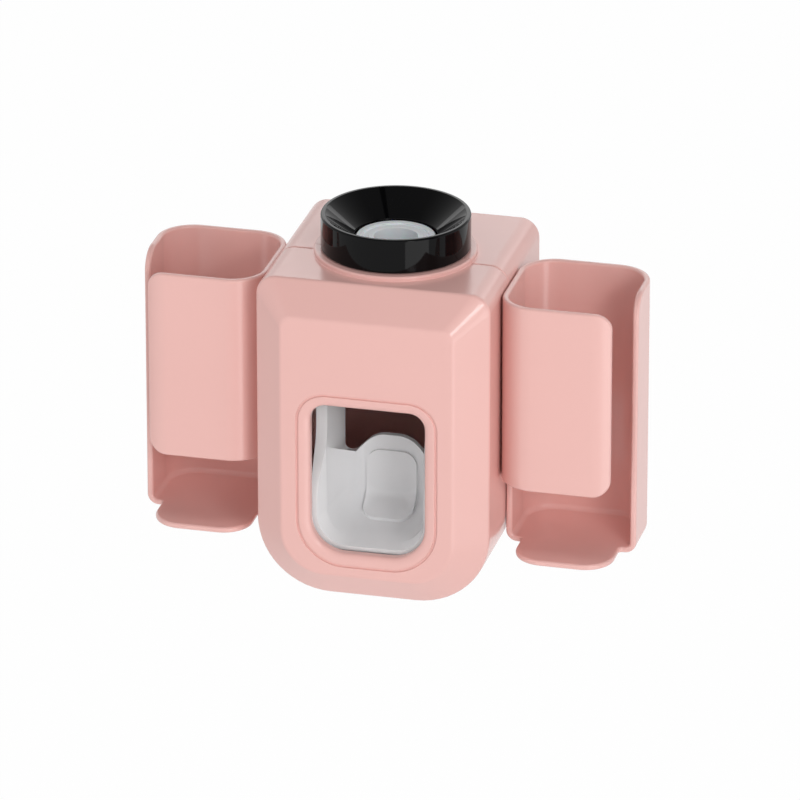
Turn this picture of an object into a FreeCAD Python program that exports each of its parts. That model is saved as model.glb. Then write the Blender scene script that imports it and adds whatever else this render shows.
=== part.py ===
import FreeCAD, Part
import os
from math import atan2, cos, degrees, pi, sin, tan

# Wall-hung toothpaste dispenser with two side cups, in millimetres.
# It is drawn from the middle of the body's front bottom edge: X to the right, Y back towards the
# wall, Z up. Each solid is then moved so that the origin is the middle of the pad on the wall.

# Body shell
body_width = 95.0
body_height = 134.0
body_depth = 95.6
seam_depth = 42.6
seam_gap = 0.3
wall = 2.4
bevel_inset = 12.5
bevel_depth = 10.8
top_edge_radius = 8.0
base_corner_radius = 30.0
face_corner_radius = 3.0
face_edge_radius = 2.5
bevel_edge_radius = 2.0

# Window in the cover
window_width = 46.7
window_bottom = 21.7
window_top = 84.7
window_low_radius = 14.0
window_high_radius = 6.5
rim_roll_width = 4.4
rim_roll_depth = 2.3
rim_groove_width = 0.8
rim_groove_depth = 0.4
jamb_depth = 4.6
jamb_width = 5.2

# Cover's lip, which slides into the housing
lip_thick = 1.4
lip_length = 4.0
lip_root = 2.2
lip_gap = 0.25
lip_notch_half = 27.0

# Round boss and collar
collar_depth = 48.1
collar_radius = 29.9
collar_height = 14.1
boss_radius = 32.5
boss_height = 2.0
boss_edge_radius = 1.5
neck_radius = 21.2
neck_bore = 16.6
neck_length = 13.0
neck_gap = 0.4
roof_gap = 2.4
lip_width = 1.8
funnel_depth = 9.3
collar_edge_radius = 0.8
rest_gap = 0.3

# Wall mount
pad_thick = 1.0
pad_width = 66.0
pad_height = 80.0
pad_corner = 8.0
plate_thick = 2.6
plate_border = 2.0
plate_corner = 10.0
recess_depth = 4.0
pad_proud = 0.4
stud_spread = 28.0
stud_rise = 25.0
stud_neck_radius = 3.0
stud_head_radius = 5.2
stud_head_thick = 2.2
housing_lift = 12.0
keyhole_radius = 5.8

# Side cups
cup_gap = 0.3
cup_width = 53.2
cup_front = 17.0
cup_length = 55.0
cup_bottom = 17.6
cup_height = 110.0
cup_wall = 2.5
cup_floor = 2.4
cup_corner = 15.0
cup_edge_radius = 1.0
cup_foot_fillet = 4.6
panel_bottom = 49.4
panel_corner = 7.0
slot_depth = 38.0
slot_corner = 9.0
tongue_width = 40.0
tongue_corner = 12.0
tongue_root_fillet = 1.6
hook_front = 47.5
hook_width = 8.0
hook_neck = 3.0
hook_drop = 6.0
hook_thick = 2.3
hook_rises = (48.0, 96.0)
cup_lift = 6.5

# Core frame, which carries the pump and the lever
core_half_width = 35.0
core_plate = 2.5
core_lead = 26.1
core_reach = 16.4
core_bottom = 72.0
core_corner = 7.0
core_base = 117.0
core_base_thick = 2.0
socket_wall = 2.8
socket_gap = 0.4
side_plate_bottom = 94.0
shelf_top = 78.0
shelf_thick = 2.4
shelf_half_width = 13.0
shelf_front = 33.0
gusset_thick = 1.8
anvil_half_width = 8.0
anvil_low = 88.0
anvil_high = 99.0
post_radius = 4.0
post_spread = 52.0
post_rises = (80.0, 112.0)
screw_radius = 1.45
screw_hole = 1.6
screw_bite_share = 0.47
screw_head_radius = 2.9
screw_head_thick = 2.1
screw_slot = 0.8

# Pump
flange_radius = 20.4
flange_thick = 2.0
mouth_radius = 7.6
bulb_radius = 11.6
bulb_wall = 1.6
bulb_gap = 0.4
nozzle_depth = 43.0
nozzle_radius = 6.0
nozzle_flange_radius = 8.4
nozzle_flange_thick = 1.4
nozzle_tip = 69.0
nozzle_gap = 0.25
nozzle_bore = 3.4
nozzle_slit = 0.5
nozzle_lip = 1.6
ring_thick = 1.5
valve_radius = 9.4
valve_thick = 1.2
flap_radius = 4.6
flap_slit = 0.5

# Tube seat
seat_radius = 15.9
seat_top = 140.8
socket_radius = 8.7
socket_depth = 12.6
feed_radius = 4.0
seat_groove_inner = 11.0
seat_groove_outer = 13.2
seat_groove_depth = 0.9
seat_edge_radius = 0.7

# Lever
arm_half_gap = 20.0
arm_thick = 4.5
scoop_front = 6.4
scoop_floor = 23.0
scoop_floor_thick = 2.8
scoop_corner = 12.0
scoop_back_fillet = 9.0
scoop_flare = 1.8
scoop_root = 14.0
scoop_sweep = 9.0
ledge_height = 60.6
scoop_rise = 46.0
paddle_front = 42.0
paddle_thick = 2.6
saddle_height = 48.2
lobe_rise = 8.6
lobe_half_width = 6.9
lobe_round = 11.0
saddle_half_width = 15.5
saddle_round = 4.4
notch_round = 2.4
arm_front = 16.0
arm_rise = 66.0
arm_curve = 22.0
arm_shoulder = 88.0
pivot_depth = 35.0
pivot_height = 107.0
head_radius = 9.0
stop_height = 113.0
panel_half_width = 10.3
panel_foot = 30.0
panel_drop = 6.4
panel_round = 6.0
panel_raise = 1.0
bar_thick = 4.0
bar_low = 84.0
bar_high = 91.0
presser_half_width = 9.0
presser_thick = 6.6
presser_over = 1.5
presser_gap = 0.4

# Pivots and springs
pin_radius = 3.0
pin_gap = 0.05
pin_head_radius = 5.0
pin_head_thick = 1.8
pin_tail = 1.4
bush_wall = 1.55
bush_flange_radius = 6.0
bush_flange_thick = 0.8
clip_radius = 4.6
clip_thick = 0.6
clip_depth = 0.6
clip_gap = 0.2
spring_radius = 5.0
spring_wire = 0.9
spring_pitch = 1.4
spring_leg = 15.0
spring_turns = 3
spring_side_gap = 0.25
peg_radius = 1.5
peg_gap = 0.3
bumper_thick = 2.5
bumper_height = 4.0
bumper_gap = 0.3
tab_thick = 2.0

overrun = 1.0
tolerance = 0.01

V = FreeCAD.Vector
X_AXIS = V(1, 0, 0)
Y_AXIS = V(0, 1, 0)
Z_AXIS = V(0, 0, 1)

half_body = body_width / 2
cover_back = seam_depth - seam_gap / 2
housing_front = seam_depth + seam_gap / 2
roof = body_height - wall
panel_back = body_depth - recess_depth
panel_front = panel_back - wall
wall_plane = body_depth + pad_proud
mount_height = body_height / 2
boss_top = body_height + boss_height
collar_base = boss_top + rest_gap
collar_top = collar_base + collar_height
neck_hole = neck_radius + neck_gap
stud_height = mount_height + stud_rise
slot_radius = stud_neck_radius + rest_gap
cup_inner = half_body + cup_gap
cup_outer = cup_inner + cup_width
cup_back = cup_front + cup_length
cup_top = cup_bottom + cup_height
cup_middle = cup_inner + cup_width / 2
core_front = collar_depth - core_lead
core_back = collar_depth + core_reach
core_side = core_half_width - core_plate
core_floor = core_base + core_base_thick
screw_length = core_plate + (panel_front - core_back) * screw_bite_share
arm_outer = arm_half_gap + arm_thick
lobe_height = saddle_height + lobe_rise
panel_high = lobe_height - panel_drop
flange_top = core_floor + flange_thick
bush_radius = pin_radius + pin_gap + bush_wall
bush_outer = arm_outer + bush_flange_thick


def box(x0, x1, y0, y1, z0, z1):
    """Block between two corners."""
    return Part.makeBox(x1 - x0, y1 - y0, z1 - z0, V(x0, y0, z0))


def rod(radius, start, end):
    """Round bar from one point to another."""
    along = end - start
    return Part.makeCylinder(radius, along.Length, start, along)


def rounded_wire(points, radii):
    """Closed wire through corner points, each corner turned by an arc of its own radius."""
    entries = []
    middles = []
    exits = []
    count = len(points)
    for i, point in enumerate(points):
        back = V(points[i - 1] - point).normalize()
        ahead = V(points[(i + 1) % count] - point).normalize()
        half = back.getAngle(ahead) / 2
        reach = radii[i] / tan(half)
        toward = V(back + ahead)
        if radii[i]:
            toward.normalize()
        centre = point + toward * (radii[i] / sin(half))
        entries.append(point + back * reach)
        middles.append(centre - toward * radii[i])
        exits.append(point + ahead * reach)
    edges = []
    for i in range(count):
        if radii[i]:
            edges.append(Part.Arc(entries[i], middles[i], exits[i]).toShape())
        start = exits[i]
        end = entries[(i + 1) % count]
        if (end - start).Length > Part.Precision.confusion():
            edges.append(Part.LineSegment(start, end).toShape())
    return Part.Wire(edges)


def prism(wire, along):
    """Solid swept from a flat wire along a vector."""
    return Part.Face(wire).extrude(along)


def front_outline(inset, y, low_radius, high_radius, half=half_body, low=0.0, high=body_height):
    """Rounded rectangle seen from the front, at depth y, drawn in by inset on every side."""
    x = half - inset
    bottom = low + inset
    top = high - inset
    points = [V(-x, y, bottom), V(x, y, bottom), V(x, y, top), V(-x, y, top)]
    return rounded_wire(points, [low_radius, low_radius, high_radius, high_radius])


def body_outline(inset, y):
    """The body's own outline, drawn in by inset."""
    return front_outline(inset, y, base_corner_radius - inset, top_edge_radius - inset)


def body_block(inset, front, back):
    """The body's outline swept from front to back."""
    return prism(body_outline(inset, front), Y_AXIS * (back - front))


def window_outline(outset, y):
    """The window's outline, drawn out by outset."""
    low = window_low_radius + outset
    high = window_high_radius + outset
    return front_outline(-outset, y, low, high, window_width / 2, window_bottom, window_top)


def window_block(outset, front, back):
    """The window's outline swept from front to back."""
    return prism(window_outline(outset, front), Y_AXIS * (back - front))


def plan_outline(x0, x1, y0, y1, z, radius):
    """Rounded rectangle seen from above."""
    points = [V(x0, y0, z), V(x1, y0, z), V(x1, y1, z), V(x0, y1, z)]
    return rounded_wire(points, [radius] * len(points))


def side_prism(outline, radii, x0, x1):
    """Solid between two X planes from corner pairs of depth and height."""
    points = [V(x0, y, z) for y, z in outline]
    return prism(rounded_wire(points, radii), X_AXIS * (x1 - x0))


def turned(outline, radii, depth=collar_depth):
    """Solid of revolution about the upright line at a depth, from pairs of radius and height."""
    points = [V(r, depth, z) for r, z in outline]
    face = Part.Face(rounded_wire(points, radii))
    return face.revolve(V(0, depth, 0), Z_AXIS, degrees(2 * pi))


def mirrored(shape):
    """The shape's copy on the other side of the middle plane."""
    return shape.mirror(V(0, 0, 0), X_AXIS)


def both_sides(shape):
    """A compound of the shape and its mirror image."""
    return Part.makeCompound([shape, mirrored(shape)])


def on_both_sides(shape):
    """The two solids of a mirrored pair, as a list for booleans."""
    return [shape, mirrored(shape)]


def edges_at(shape, test):
    """Edges whose every vertex passes a test."""
    return [e for e in shape.Edges if all(test(v.Point) for v in e.Vertexes)]


def sharp_edges(shape, least):
    """Edges at which two faces meet at more than an angle."""
    found = []
    for edge in shape.Edges:
        sides = shape.ancestorsOfType(edge, Part.Face)
        middle = edge.valueAt((edge.FirstParameter + edge.LastParameter) / 2)
        if len(sides) == 2:
            first, second = (face.normalAt(*face.Surface.parameter(middle)) for face in sides)
            if first.getAngle(second) > least:
                found.append(edge)
    return found


def near(a, b):
    """True where two lengths are the same within the model's tolerance."""
    return abs(a - b) < tolerance


def boss_block():
    """The low round boss under the collar, whole."""
    base = V(0, collar_depth, body_height - wall / 2)
    boss = rod(boss_radius, base, V(0, collar_depth, boss_top))
    rim = edges_at(boss, lambda p: near(p.z, boss_top))
    return boss.makeFillet(boss_edge_radius, rim)


def neck_cut():
    """The wide hole round the collar's neck through boss and roof; the core frame holds the neck."""
    low = V(0, collar_depth, roof - overrun)
    return rod(neck_radius + roof_gap, low, V(0, collar_depth, boss_top + overrun))


def cover_form(inset, front):
    """The cover's bevelled form, drawn in by inset, with its flat front at a depth."""
    slope = atan2(bevel_depth, bevel_inset)
    face_inset = bevel_inset + inset * tan(slope / 2)
    side_start = bevel_depth + inset * tan((pi / 2 - slope) / 2)
    low = base_corner_radius - face_inset
    face = front_outline(face_inset, front, low, face_corner_radius)
    edge = body_outline(inset, side_start)
    bevel = Part.makeLoft([face, edge], True, True)
    return bevel.fuse(body_block(inset, side_start, cover_back)).removeSplitter()


def front_cover():
    """Bevelled shell before the seam, with its window, its half of the boss and its lip."""
    outer = cover_form(0, 0)
    face_edges = edges_at(outer, lambda p: near(p.y, 0))
    outer = outer.makeFillet(face_edge_radius, face_edges)
    bevel_edges = edges_at(outer, lambda p: near(p.y, bevel_depth))
    outer = outer.makeFillet(bevel_edge_radius, bevel_edges)
    front_half = box(-half_body, half_body, 0, cover_back, roof, boss_top + overrun)
    shell = outer.fuse(boss_block().common(front_half)).cut(cover_form(wall, wall))

    jamb = window_block(jamb_width, rim_roll_depth, jamb_depth)
    steps = 6
    sections = []
    for i in range(steps):
        turn = pi / 2 * i / (steps - 1)
        depth = rim_roll_depth * (1 - cos(turn))
        sections.append(window_outline(rim_roll_width * (1 - sin(turn)), depth))
    roll = Part.makeLoft(sections, True, False)
    shell = shell.fuse(jamb).cut(roll)
    shell = shell.cut(window_block(0, -overrun, jamb_depth + overrun))
    groove = window_block(rim_roll_width + rim_groove_width, -overrun, rim_groove_depth)
    shell = shell.cut(groove.cut(window_block(rim_roll_width, -overrun, rim_groove_depth)))

    tip = seam_depth + lip_length
    hollow = body_block(wall + lip_gap + lip_thick, seam_depth - lip_root, tip)
    root = body_block(wall / 2, seam_depth - lip_root, cover_back)
    lip = body_block(wall + lip_gap, cover_back, tip)
    notch_base = roof - top_edge_radius
    notch = box(-lip_notch_half, lip_notch_half, 0, tip, notch_base, roof)
    lip = root.fuse(lip).cut(hollow).cut(notch)
    return shell.fuse(lip).cut(neck_cut()).removeSplitter()


def rear_housing():
    """Shell behind the seam: walls, back panel with keyholes, screw posts and the cups' slots."""
    shell = body_block(0, housing_front, body_depth)
    shell = shell.cut(body_block(wall, housing_front, panel_front))
    shell = shell.cut(body_block(wall, panel_back, body_depth))
    back_half = box(-half_body, half_body, housing_front, body_depth, roof, boss_top + overrun)
    shell = shell.fuse(boss_block().common(back_half)).cut(neck_cut())
    for rise in post_rises:
        tip = V(post_spread / 2, core_back, rise)
        post = rod(post_radius, tip, V(post_spread / 2, panel_front, rise))
        bore = rod(screw_hole, tip, tip + Y_AXIS * screw_length)
        shell = shell.fuse(on_both_sides(post.cut(bore)))
    x = stud_spread / 2
    low = stud_height - housing_lift
    slot = box(x - slot_radius, x + slot_radius, panel_front, panel_back, low, stud_height)
    for radius, z in ((slot_radius, stud_height), (keyhole_radius, low)):
        slot = slot.fuse(rod(radius, V(x, panel_front, z), V(x, panel_back, z)))
    shell = shell.cut(on_both_sides(slot))
    side = cup_gap * 2
    for rise in hook_rises:
        top = rise + hook_neck + cup_lift + side
        back = hook_front + hook_width + side
        gap = box(half_body - wall * 2, cup_inner, hook_front - side, back, rise - cup_gap, top)
        shell = shell.cut(on_both_sides(gap))
    return shell.removeSplitter()


def wall_pad():
    """Foam pad on the wall."""
    outline = front_outline(
        0, wall_plane - pad_thick, pad_corner, pad_corner,
        pad_width / 2, mount_height - pad_height / 2, mount_height + pad_height / 2,
    )
    return prism(outline, Y_AXIS * pad_thick)


def wall_plate():
    """Hanger plate with two headed studs."""
    back = wall_plane - pad_thick
    front = back - plate_thick
    half_height = pad_height / 2 + plate_border
    outline = front_outline(
        0, front, plate_corner, plate_corner,
        pad_width / 2 + plate_border, mount_height - half_height, mount_height + half_height,
    )
    plate = prism(outline, Y_AXIS * plate_thick)
    x = stud_spread / 2
    head_back = panel_front - rest_gap
    root = V(x, back - plate_thick / 2, stud_height)
    neck = rod(stud_neck_radius, V(x, head_back, stud_height), root)
    tip = V(x, head_back - stud_head_thick, stud_height)
    head = rod(stud_head_radius, tip, V(x, head_back, stud_height))
    head = head.makeFillet(stud_head_thick / 3, edges_at(head, lambda p: near(p.y, tip.y)))
    return plate.fuse(on_both_sides(neck.fuse(head))).removeSplitter()


def side_cup():
    """Right-hand cup: open lower front, tall slot at the outer corner, tongue floor, two hooks."""
    outline = plan_outline(cup_inner, cup_outer, cup_front, cup_back, cup_bottom, cup_corner)
    outer = prism(outline, Z_AXIS * cup_height)
    foot = edges_at(outer, lambda p: near(p.z, cup_bottom))
    outer = outer.makeFillet(cup_foot_fillet, foot)
    floor_top = cup_bottom + cup_floor
    inner_outline = plan_outline(
        cup_inner + cup_wall, cup_outer - cup_wall, cup_front + cup_wall, cup_back - cup_wall,
        floor_top, cup_corner - cup_wall,
    )
    inner = prism(inner_outline, Z_AXIS * cup_height)
    inner_foot = edges_at(inner, lambda p: near(p.z, floor_top))
    inner = inner.makeFillet(cup_foot_fillet - cup_wall, inner_foot)
    cup = outer.cut(inner)

    panel_side = cup_middle + tongue_width / 2
    front = cup_front - overrun
    points = [
        V(cup_inner - cup_width, front, panel_bottom), V(panel_side, front, panel_bottom),
        V(panel_side, front, cup_top), V(cup_inner - cup_width, front, cup_top),
    ]
    keep = prism(rounded_wire(points, [0, panel_corner, panel_corner, 0]), Y_AXIS * cup_length)
    above = cup_top + overrun
    open_front = box(cup_inner - overrun, cup_outer + overrun, front, slot_depth, cup_bottom - overrun, above)
    cup = cup.cut(open_front.cut(keep))

    corner = box(panel_side, cup_outer + overrun, slot_depth, slot_depth + slot_corner,
                 cup_top - slot_corner, above)
    centre = V(panel_side, slot_depth + slot_corner, cup_top - slot_corner)
    corner = corner.cut(rod(slot_corner, centre, centre + X_AXIS * cup_width))
    cup = cup.cut(corner)

    left, right = cup_middle - tongue_width / 2, cup_middle + tongue_width / 2
    skirt_share = 1.2
    skirt = tongue_root_fillet * skirt_share
    points = [
        V(left - skirt, slot_depth, cup_bottom), V(left, slot_depth, cup_bottom),
        V(left, cup_front, cup_bottom), V(right, cup_front, cup_bottom),
        V(right, slot_depth, cup_bottom), V(right + skirt, slot_depth, cup_bottom),
        V(right + skirt, slot_depth + skirt, cup_bottom), V(left - skirt, slot_depth + skirt, cup_bottom),
    ]
    radii = [0, tongue_root_fillet, tongue_corner, tongue_corner, tongue_root_fillet, 0, 0, 0]
    cup = cup.fuse(prism(rounded_wire(points, radii), Z_AXIS * cup_floor)).removeSplitter()
    cup = cup.makeFillet(cup_edge_radius, sharp_edges(cup, pi / 6))

    for rise in hook_rises:
        inside = half_body - wall - rest_gap - hook_thick
        neck = box(inside, cup_inner + cup_wall / 2, hook_front, hook_front + hook_width,
                   rise, rise + hook_neck)
        drop = box(inside, inside + hook_thick, hook_front, hook_front + hook_width,
                   rise - hook_drop, rise + hook_neck)
        cup = cup.fuse(neck.fuse(drop))
    return cup.removeSplitter()


def core_frame():
    """Bracket with the collar's socket, lever pivots, nozzle shelf, anvil and spring pegs."""
    half = core_half_width
    base = prism(
        plan_outline(-half, half, core_front, core_back, core_base, post_radius),
        Z_AXIS * core_base_thick,
    )
    socket_top = V(0, collar_depth, roof - socket_gap)
    tube = rod(neck_hole + socket_wall, V(0, collar_depth, core_base), socket_top)
    frame = base.fuse(tube)
    frame = frame.cut(rod(neck_hole, V(0, collar_depth, core_floor), V(0, collar_depth, roof)))
    face = core_back - core_plate
    points = [V(-half, face, core_bottom), V(half, face, core_bottom), V(half, face, core_floor),
              V(-half, face, core_floor)]
    back = prism(rounded_wire(points, [core_corner, core_corner, 0, 0]), Y_AXIS * core_plate)
    outline = [
        (core_front, core_floor), (core_front, side_plate_bottom + head_radius / 2),
        (core_front + head_radius, side_plate_bottom), (core_back, side_plate_bottom),
        (core_back, core_floor),
    ]
    side = side_prism(outline, [0, post_radius, post_radius, 0, 0], core_side, half)
    frame = frame.fuse([back] + on_both_sides(side))

    shelf_low = shelf_top - shelf_thick
    width = shelf_half_width
    shelf = plan_outline(-width, width, shelf_front, core_back, shelf_low, post_radius)
    shelf = prism(shelf, Z_AXIS * shelf_thick)
    drop = shelf_low - core_bottom
    web = [(face, core_bottom), (face, shelf_low), (face - drop * 2, shelf_low)]
    gusset = side_prism(web, [0, 0, 0], width - gusset_thick, width)
    anvil_front = bulb_back(anvil_low, anvil_high) + bulb_gap
    anvil = box(-anvil_half_width, anvil_half_width, anvil_front, face, anvil_low, anvil_high)
    frame = frame.fuse([shelf, anvil] + on_both_sides(gusset))

    bumper_back = stop_plane() + bumper_gap + bumper_thick
    tab = box(arm_half_gap + rest_gap, arm_outer - rest_gap, bumper_back, bumper_back + tab_thick,
              stop_height - bumper_height * 3 / 2, core_base + core_base_thick / 2)
    peg_z = pivot_height + spring_radius + spring_wire / 2 + peg_gap + peg_radius
    peg_y = pivot_depth + spring_leg - peg_radius * 2
    peg_end = V(spring_start() - spring_wire, peg_y, peg_z)
    peg = rod(peg_radius, peg_end, V(core_side + core_plate / 2, peg_y, peg_z))
    frame = frame.fuse(on_both_sides(tab) + on_both_sides(peg))

    low = V(0, collar_depth, core_base - overrun)
    cuts = [rod(bulb_radius + bulb_gap, low, V(0, collar_depth, core_floor + overrun))]
    above = V(0, nozzle_depth, shelf_top + overrun)
    cuts.append(rod(nozzle_radius + nozzle_gap, V(0, nozzle_depth, core_bottom), above))
    x = half + overrun
    cuts.append(rod(pin_radius, V(-x, pivot_depth, pivot_height), V(x, pivot_depth, pivot_height)))
    for rise in post_rises:
        end = V(post_spread / 2, core_back, rise)
        cuts.extend(on_both_sides(rod(screw_hole, end - Y_AXIS * core_plate * 2, end)))
    return frame.cut(cuts).removeSplitter()


def bulb_section(index):
    """Height, depth and outer radius of one round section of the bulb, from the top down."""
    top = core_floor
    bottom = shelf_top + nozzle_flange_thick
    height_shares = (0.0, 0.22, 0.53, 0.79, 1.0)
    offset_shares = (0.0, 0.0, 0.1, 0.49, 1.0)
    radius_shares = (1.0, 0.98, 0.9, 0.74, 0.56)
    z = top + (bottom - top) * height_shares[index]
    y = collar_depth + (nozzle_depth - collar_depth) * offset_shares[index]
    return z, y, bulb_radius * radius_shares[index]


def bulb_back(low, high):
    """Furthest depth that the bulb's sections reach between two heights."""
    sections = [bulb_section(i) for i in range(5)]
    return max(y + r for z, y, r in sections if low <= z <= high)


def bulb_front(low, high):
    """Least depth that the bulb's sections reach between two heights."""
    sections = [bulb_section(i) for i in range(5)]
    return min(y - r for z, y, r in sections if low <= z <= high)


def presser_rear():
    """Depth of the presser pad's rear face, just before the bulb."""
    return bulb_front(bar_low, anvil_high) - presser_gap


def bulb_loft(shrink, top_radius):
    """Smooth loft through the bulb's sections, each radius less by shrink."""
    wires = []
    for i in range(5):
        z, y, radius = bulb_section(i)
        radius = radius - shrink
        if i == 0:
            radius = top_radius
        wires.append(Part.Wire(Part.makeCircle(radius, V(0, y, z), Z_AXIS)))
    return Part.makeLoft(wires, True, False)


def squeeze_chamber():
    """Silicone bulb: flange in the socket, curved body and a foot on the nozzle's flange."""
    flange = rod(flange_radius, V(0, collar_depth, core_floor), V(0, collar_depth, flange_top))
    bulb = bulb_loft(0, bulb_section(0)[2])
    mouth = rod(mouth_radius, V(0, collar_depth, core_floor), V(0, collar_depth, flange_top))
    cavity = bulb_loft(bulb_wall, mouth_radius)
    return flange.fuse(bulb).cut(mouth.fuse(cavity)).removeSplitter()


def inlet_valve():
    """Flap disc under the seat: a C-shaped slit frees a round flap."""
    low = V(0, collar_depth, flange_top)
    high = V(0, collar_depth, flange_top + valve_thick)
    disc = rod(valve_radius, low, high)
    slit = rod(flap_radius, low, high).cut(rod(flap_radius - flap_slit, low, high))
    half = flap_radius / 2
    hinge = box(-half, half, collar_depth, collar_depth + valve_radius, low.z, high.z)
    return disc.cut(slit.cut(hinge))


def tube_seat():
    """Silicone seat with a ringed top and a socket for the tube's neck."""
    socket_floor = seat_top - socket_depth
    pocket_radius = valve_radius + rest_gap
    pocket_top = flange_top + valve_thick + rest_gap
    low_step = flange_top + flange_thick
    groove = seat_top - seat_groove_depth
    inner_top = seat_top - seat_groove_depth / 4
    outline = [
        (pocket_radius, flange_top), (flange_radius, flange_top), (flange_radius, low_step),
        (seat_radius, low_step), (seat_radius, seat_top), (seat_groove_outer, seat_top),
        (seat_groove_outer, groove), (seat_groove_inner, groove), (seat_groove_inner, inner_top),
        (socket_radius, inner_top), (socket_radius, socket_floor), (feed_radius, socket_floor),
        (feed_radius, pocket_top), (pocket_radius, pocket_top),
    ]
    soft = seat_edge_radius
    radii = [0, 0, 0, 0, soft, soft / 2, 0, 0, soft / 2, 0, 0, 0, 0, 0]
    return turned(outline, radii)


def tube_collar():
    """Black ring with a funnel mouth and a neck that presses on the seat's flange."""
    foot = collar_base - neck_length
    round_edge = collar_edge_radius
    outline = [
        (neck_bore, foot), (neck_radius, foot), (neck_radius, collar_base), (collar_radius, collar_base),
        (collar_radius, collar_top), (collar_radius - lip_width, collar_top),
        (neck_bore, collar_top - funnel_depth),
    ]
    return turned(outline, [round_edge / 2, round_edge / 2, 0] + [round_edge] * 4)


def outlet_nozzle():
    """Duckbill: flange on the shelf, round body and a flat lip with a slit."""
    shelf_low = shelf_top - shelf_thick
    ring_low = shelf_low - ring_thick
    centre = V(0, nozzle_depth, 0)
    seat = centre + Z_AXIS * shelf_top
    flange_end = seat + Z_AXIS * nozzle_flange_thick
    flange = rod(nozzle_flange_radius, seat, flange_end)
    body = rod(nozzle_radius, centre + Z_AXIS * ring_low, seat)
    half = nozzle_radius * 3 / 4
    thin = nozzle_lip / 2
    wedge = [
        (nozzle_depth - nozzle_radius, ring_low), (nozzle_depth + nozzle_radius, ring_low),
        (nozzle_depth + thin, nozzle_tip), (nozzle_depth - thin, nozzle_tip),
    ]
    bill = side_prism(wedge, [0] * len(wedge), -nozzle_radius, nozzle_radius)
    bill = bill.common(rod(nozzle_radius, centre + Z_AXIS * nozzle_tip, centre + Z_AXIS * ring_low))
    nozzle = flange.fuse([body, bill])
    bore_end = (ring_low + nozzle_tip) / 2
    bore = rod(nozzle_bore, centre + Z_AXIS * bore_end, flange_end)
    gap = nozzle_slit / 2
    slit = box(-half + thin, half - thin, nozzle_depth - gap, nozzle_depth + gap, nozzle_tip, bore_end)
    return nozzle.cut([bore, slit])


def nozzle_ring():
    """Snap ring under the shelf that holds the nozzle."""
    low = V(0, nozzle_depth, shelf_top - shelf_thick - ring_thick)
    high = V(0, nozzle_depth, shelf_top - shelf_thick)
    return rod(nozzle_flange_radius, low, high).cut(rod(nozzle_radius, low, high))


def core_screws():
    """Four pan-head screws that hold the core frame to the housing's posts."""
    screws = []
    seat = core_back - core_plate
    for rise in post_rises:
        for side in (-1, 1):
            x = side * post_spread / 2
            tip = seat + screw_length
            shank = rod(screw_radius, V(x, seat, rise), V(x, tip, rise))
            front = seat - screw_head_thick
            head = rod(screw_head_radius, V(x, front, rise), V(x, seat, rise))
            head = head.makeFillet(screw_head_thick / 2, edges_at(head, lambda p: near(p.y, front)))
            arm = screw_head_radius / 2
            deep = screw_head_thick / 2
            thin = screw_slot / 2
            across = box(x - arm, x + arm, front, front + deep, rise - thin, rise + thin)
            upright = box(x - thin, x + thin, front, front + deep, rise - arm, rise + arm)
            screws.append(shank.fuse(head).cut([across, upright]).removeSplitter())
    return Part.makeCompound(screws)


def stop_plane():
    """Depth of the lever's rear face, which meets the bumpers."""
    return paddle_front + paddle_thick


def scoop_hollow(raised, top):
    """The scoop's hollow: its walls and floor sweep round to the paddle along a quarter oval."""
    sections = []
    turn_shares = (0, 0.2, 0.4, 0.6, 0.8, 0.92, 1)
    for share in turn_shares:
        turn = pi / 2 * share
        inset = scoop_sweep * (1 - cos(turn)) + raised
        y = scoop_root + (paddle_front - raised - scoop_root) * sin(turn)
        corner = scoop_corner * scoop_corner / (scoop_corner + inset)
        sections.append(front_outline(inset, y, corner, 0, arm_half_gap, scoop_floor, top + scoop_sweep))
    return Part.makeLoft(sections, True, False)


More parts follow.
